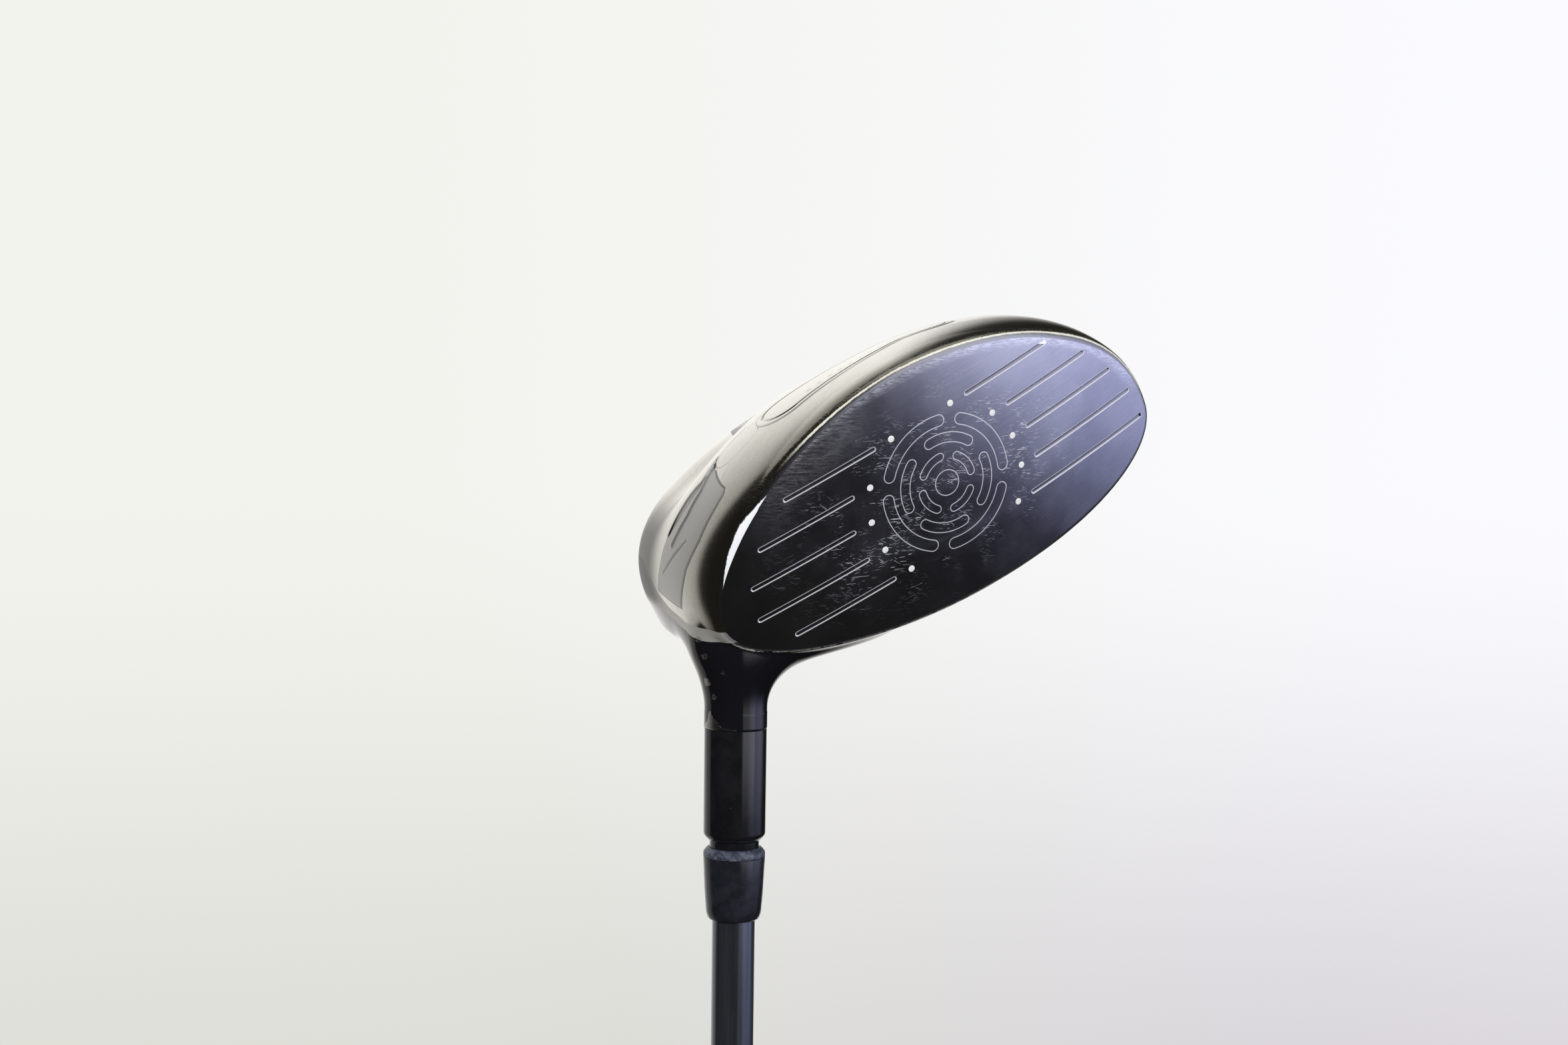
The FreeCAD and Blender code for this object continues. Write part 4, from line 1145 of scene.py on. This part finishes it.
def grip():
    """Tapered rubber sleeve: ring grooves, a diamond field between them and a rounded mouth."""
    low, high = bottom_mm("grip"), top_mm("grip")

    def outer(z):
        return BUTT_RADIUS - GRIP_TAPER * z / high

    profile = []
    z = low
    while z < high - 2.6:
        near = min(abs(z - (RING_START + i * RING_PITCH)) for i in range(RING_COUNT))
        dip = RING_DEPTH if near < RING_HALF_WIDTH else 0.0
        profile.append((outer(z) - dip, z))
        z += 0.35
    mouth = outer(high)
    profile += [(mouth - 0.25, high - 1.6), (mouth - 0.8, high - 0.6), (mouth - 1.7, high - 0.05)]
    profile += [(shaft_radius(high) + TAPE_GAP, high), (shaft_radius(low) + TAPE_GAP, low)]

    def diamonds(radius, angle, z):
        height = np.broadcast_to(z, radius.shape)
        rising, falling = np.sin(9 * angle + height * 0.9), np.sin(9 * angle - height * 0.9)
        lattice = np.maximum(np.abs(rising), np.abs(falling))
        field = smooth_step(height, 14, 18) * smooth_step(-height, -(high - 18), -(high - 22))
        field = field * (np.abs(radius - outer(height)) < 0.05)
        return radius - 0.16 * field * smooth_step(lattice, 0.93, 0.99)

    turned_piece("grip_sleeve", profile, "club", GRIP, ["grip"], turns=240, shape=diamonds, sharp=60,
                 bevels=False)
    profile = [(0, 0.5, 0), (1.1, 0.5, 0.1), (1.1, 0.02, 0.1), (11.6, 0, 0.6), (BUTT_RADIUS, 1.9, 1.4),
               (BUTT_RADIUS, 2.9, 0.1), (13.15, 3.1, 0.1), (13.15, 3.5, 0.1), (13.38, 3.7, 0.1),
               (13.38, CAP_TOP, 0), (0, CAP_TOP, 0)]
    turned_piece("grip_end_cap", profile, "club", GRIP, ["grip_cap"], turns=180)


hosel_end()
adapter()
cog()
ferrule()
shaft()
grip()

# CAD nodes that are shown as they are, with their materials
CARRIED_OVER = {"hosel_tube": STEEL, "sole_weight": STEEL, "damping_pad": TACK, "fastening_screw": STEEL,
                "screw_washer": STEEL, "screw_retainer": PLASTIC, "tip_plug": BRASS, "grip_tape": PAPER}
for node, look in CARRIED_OVER.items():
    obj = frame["nodes"][node]
    obj.data.materials.clear()
    obj.data.materials.append(look)


# ---- studio
# The camera's right, down and forward directions and its place in metres; sensor and lens in millimetres
RIGHT = np.array([0.94392, -0.32995, 0.01253])
DOWN = np.array([-0.00629, -0.05591, -0.99842])
FORWARD = np.array([0.33013, 0.94234, -0.05485])
EYE = (-0.13273, -0.40627, 1.09894)
SENSOR_WIDTH, LENS = 36.0, 49.922
FILL_PLACE, FILL_AIM = Vector((-1.1, -1.9, 2.1)), Vector((0, 0, 0.9))

# Soft-edged patches of light round the club. Azimuth runs in degrees to the right from the line to the
# camera, elevation up. Each: first azimuth, its softness, last azimuth, its softness, lower edge, its
# softness, upper edge, its softness, shift of the first azimuth with elevation, colour, strength.
PATCHES = (
    (28, 4, 76, 4, -8, 11, 48, 11, 0, (0.97, 0.98, 1.0), 1.5),            # window on the right
    (54, 12, 112, 12, -15, 9, 6, 9, 0, (0.58, 0.62, 1.0), 1.15),          # cool light low on the right
    (76, 12, 124, 10, -6, 12, 34, 12, 0, (0.86, 0.90, 1.0), 0.7),         # wall beyond it
    (165, 7, 258, 4, -42, 10, 47, 12, 0.62, (1.0, 0.985, 0.96), 0.45),    # pale backdrop
    (165, 7, 222, 34, -42, 10, 47, 12, 0.62, (1.0, 0.985, 0.96), 0.70),   # its brighter middle
    (-200, 9, 400, 9, 66, 8, 100, 5, 0, (1.0, 0.99, 0.97), 0.5),          # ceiling
)
DIM = (0.022, 0.0215, 0.019)  # light from everywhere else


def build_world():
    world = bpy.data.worlds.new("studio")
    bpy.context.scene.world = world
    g = empty_graph(world)
    ray = g.node("ShaderNodeTexCoord").outputs["Generated"]

    def along(direction):
        product = g.node("ShaderNodeVectorMath", {0: ray, 1: direction}, operation="DOT_PRODUCT")
        return product.outputs["Value"]

    toward, side = -FORWARD[:2] / np.linalg.norm(FORWARD[:2]), RIGHT[:2] / np.linalg.norm(RIGHT[:2])
    turn = g.maths("ARCTAN2", along((*side, 0)), along((*toward, 0)))
    turn = g.maths("SUBTRACT", g.maths("FLOORED_MODULO", g.plus(g.maths("DEGREES", turn), 80.0), 360.0), 80.0)
    rise = g.maths("DEGREES", g.maths("ARCSINE", along((0, 0, 1))))
    total = g.node("ShaderNodeVectorMath", {0: DIM, 1: (0, 0, 0)}, operation="ADD").outputs[0]
    for a0, a0_soft, a1, a1_soft, e0, e0_soft, e1, e1_soft, lean, colour, gain in PATCHES:
        leaned = g.maths("SUBTRACT", turn, g.times(rise, lean))
        share = g.times(g.ramp(leaned, a0 - a0_soft, a0 + a0_soft), g.ramp(turn, a1 + a1_soft, a1 - a1_soft))
        level = g.times(g.ramp(rise, e0 - e0_soft, e0 + e0_soft), g.ramp(rise, e1 + e1_soft, e1 - e1_soft))
        share = g.times(share, level)
        tint = tuple(c * gain for c in colour)
        patch = g.node("ShaderNodeVectorMath", {0: tint, "Scale": share}, operation="SCALE").outputs[0]
        total = g.node("ShaderNodeVectorMath", {0: total, 1: patch}, operation="ADD").outputs[0]
    light = g.node("ShaderNodeBackground", {"Color": total, "Strength": 1.0})
    height, across = along((0, 0, 1)), along(tuple(RIGHT))
    wall = g.mix(g.ramp(across, -0.2, 0.35), (0.895, 0.895, 0.855), (0.965, 0.965, 1.0))
    low = g.mix(g.ramp(across, -0.2, 0.35), (0.72, 0.725, 0.675), (0.68, 0.65, 0.70))
    shown = g.mix(g.ramp(height, -0.33, -0.03), low, wall)
    seen = g.node("ShaderNodeBackground", {"Color": shown, "Strength": 1.0})
    camera_ray = g.node("ShaderNodeLightPath").outputs["Is Camera Ray"]
    both = g.node("ShaderNodeMixShader", {0: camera_ray, 1: light.outputs[0], 2: seen.outputs[0]})
    g.node("ShaderNodeOutputWorld", {"Surface": both.outputs[0]})


def build_fill():
    """Soft front light that only matt surfaces show."""
    lamp = bpy.data.lights.new("fill", "AREA")
    lamp.shape, lamp.size, lamp.energy = "DISK", 1.6, 60.0
    fill = link("fill", lamp)
    fill.location = FILL_PLACE
    fill.rotation_euler = (FILL_AIM - FILL_PLACE).to_track_quat("-Z", "Y").to_euler()
    fill.visible_glossy = False
    fill.visible_camera = False


def build_floor():
    """Plain pale floor under the club, fading into the pale studio at its rim."""
    turns, radii = 96, (0.0, 0.15, 0.3, 0.45, 0.6, 0.75, 0.9)
    mesh = bpy.data.meshes.new("floor")
    angles = [2 * math.pi * k / turns for k in range(turns)]
    verts = [(r * math.cos(angle), r * math.sin(angle), 0) for r in radii for angle in angles]
    mesh.from_pydata(verts, [], ring_faces(len(radii), turns))
    weld(mesh, 1e-6, turn_out=False)
    floor = link("floor", mesh)
    look = bpy.data.materials.new("floor")
    g = empty_graph(look)
    place = g.node("ShaderNodeTexCoord").outputs["Object"]
    reach = g.node("ShaderNodeVectorMath", {0: place}, operation="LENGTH").outputs["Value"]
    speckle = g.noise(place, 30.0, 3)
    tone = g.mix(speckle, (0.86, 0.86, 0.85), (0.90, 0.90, 0.89))
    solid = g.node("ShaderNodeBsdfPrincipled", {"Base Color": tone, "Roughness": 0.9})
    clear = g.node("ShaderNodeBsdfTransparent")
    share = g.ramp(reach, 0.35, 0.88)
    both = g.node("ShaderNodeMixShader", {0: share, 1: solid.outputs[0], 2: clear.outputs[0]})
    g.node("ShaderNodeOutputMaterial", {"Surface": both.outputs[0]})
    mesh.materials.append(look)
    floor.visible_glossy = False


def build_camera():
    data = bpy.data.cameras.new("camera")
    data.sensor_width, data.lens = SENSOR_WIDTH, LENS
    data.clip_start, data.clip_end = 0.01, 50
    camera = link("camera", data)
    basis = Matrix((RIGHT, -DOWN, -FORWARD)).transposed().to_4x4()
    basis.translation = EYE
    camera.matrix_world = basis
    bpy.context.scene.camera = camera


build_world()
build_fill()
build_floor()
build_camera()
bpy.context.scene.view_settings.view_transform = "Standard"
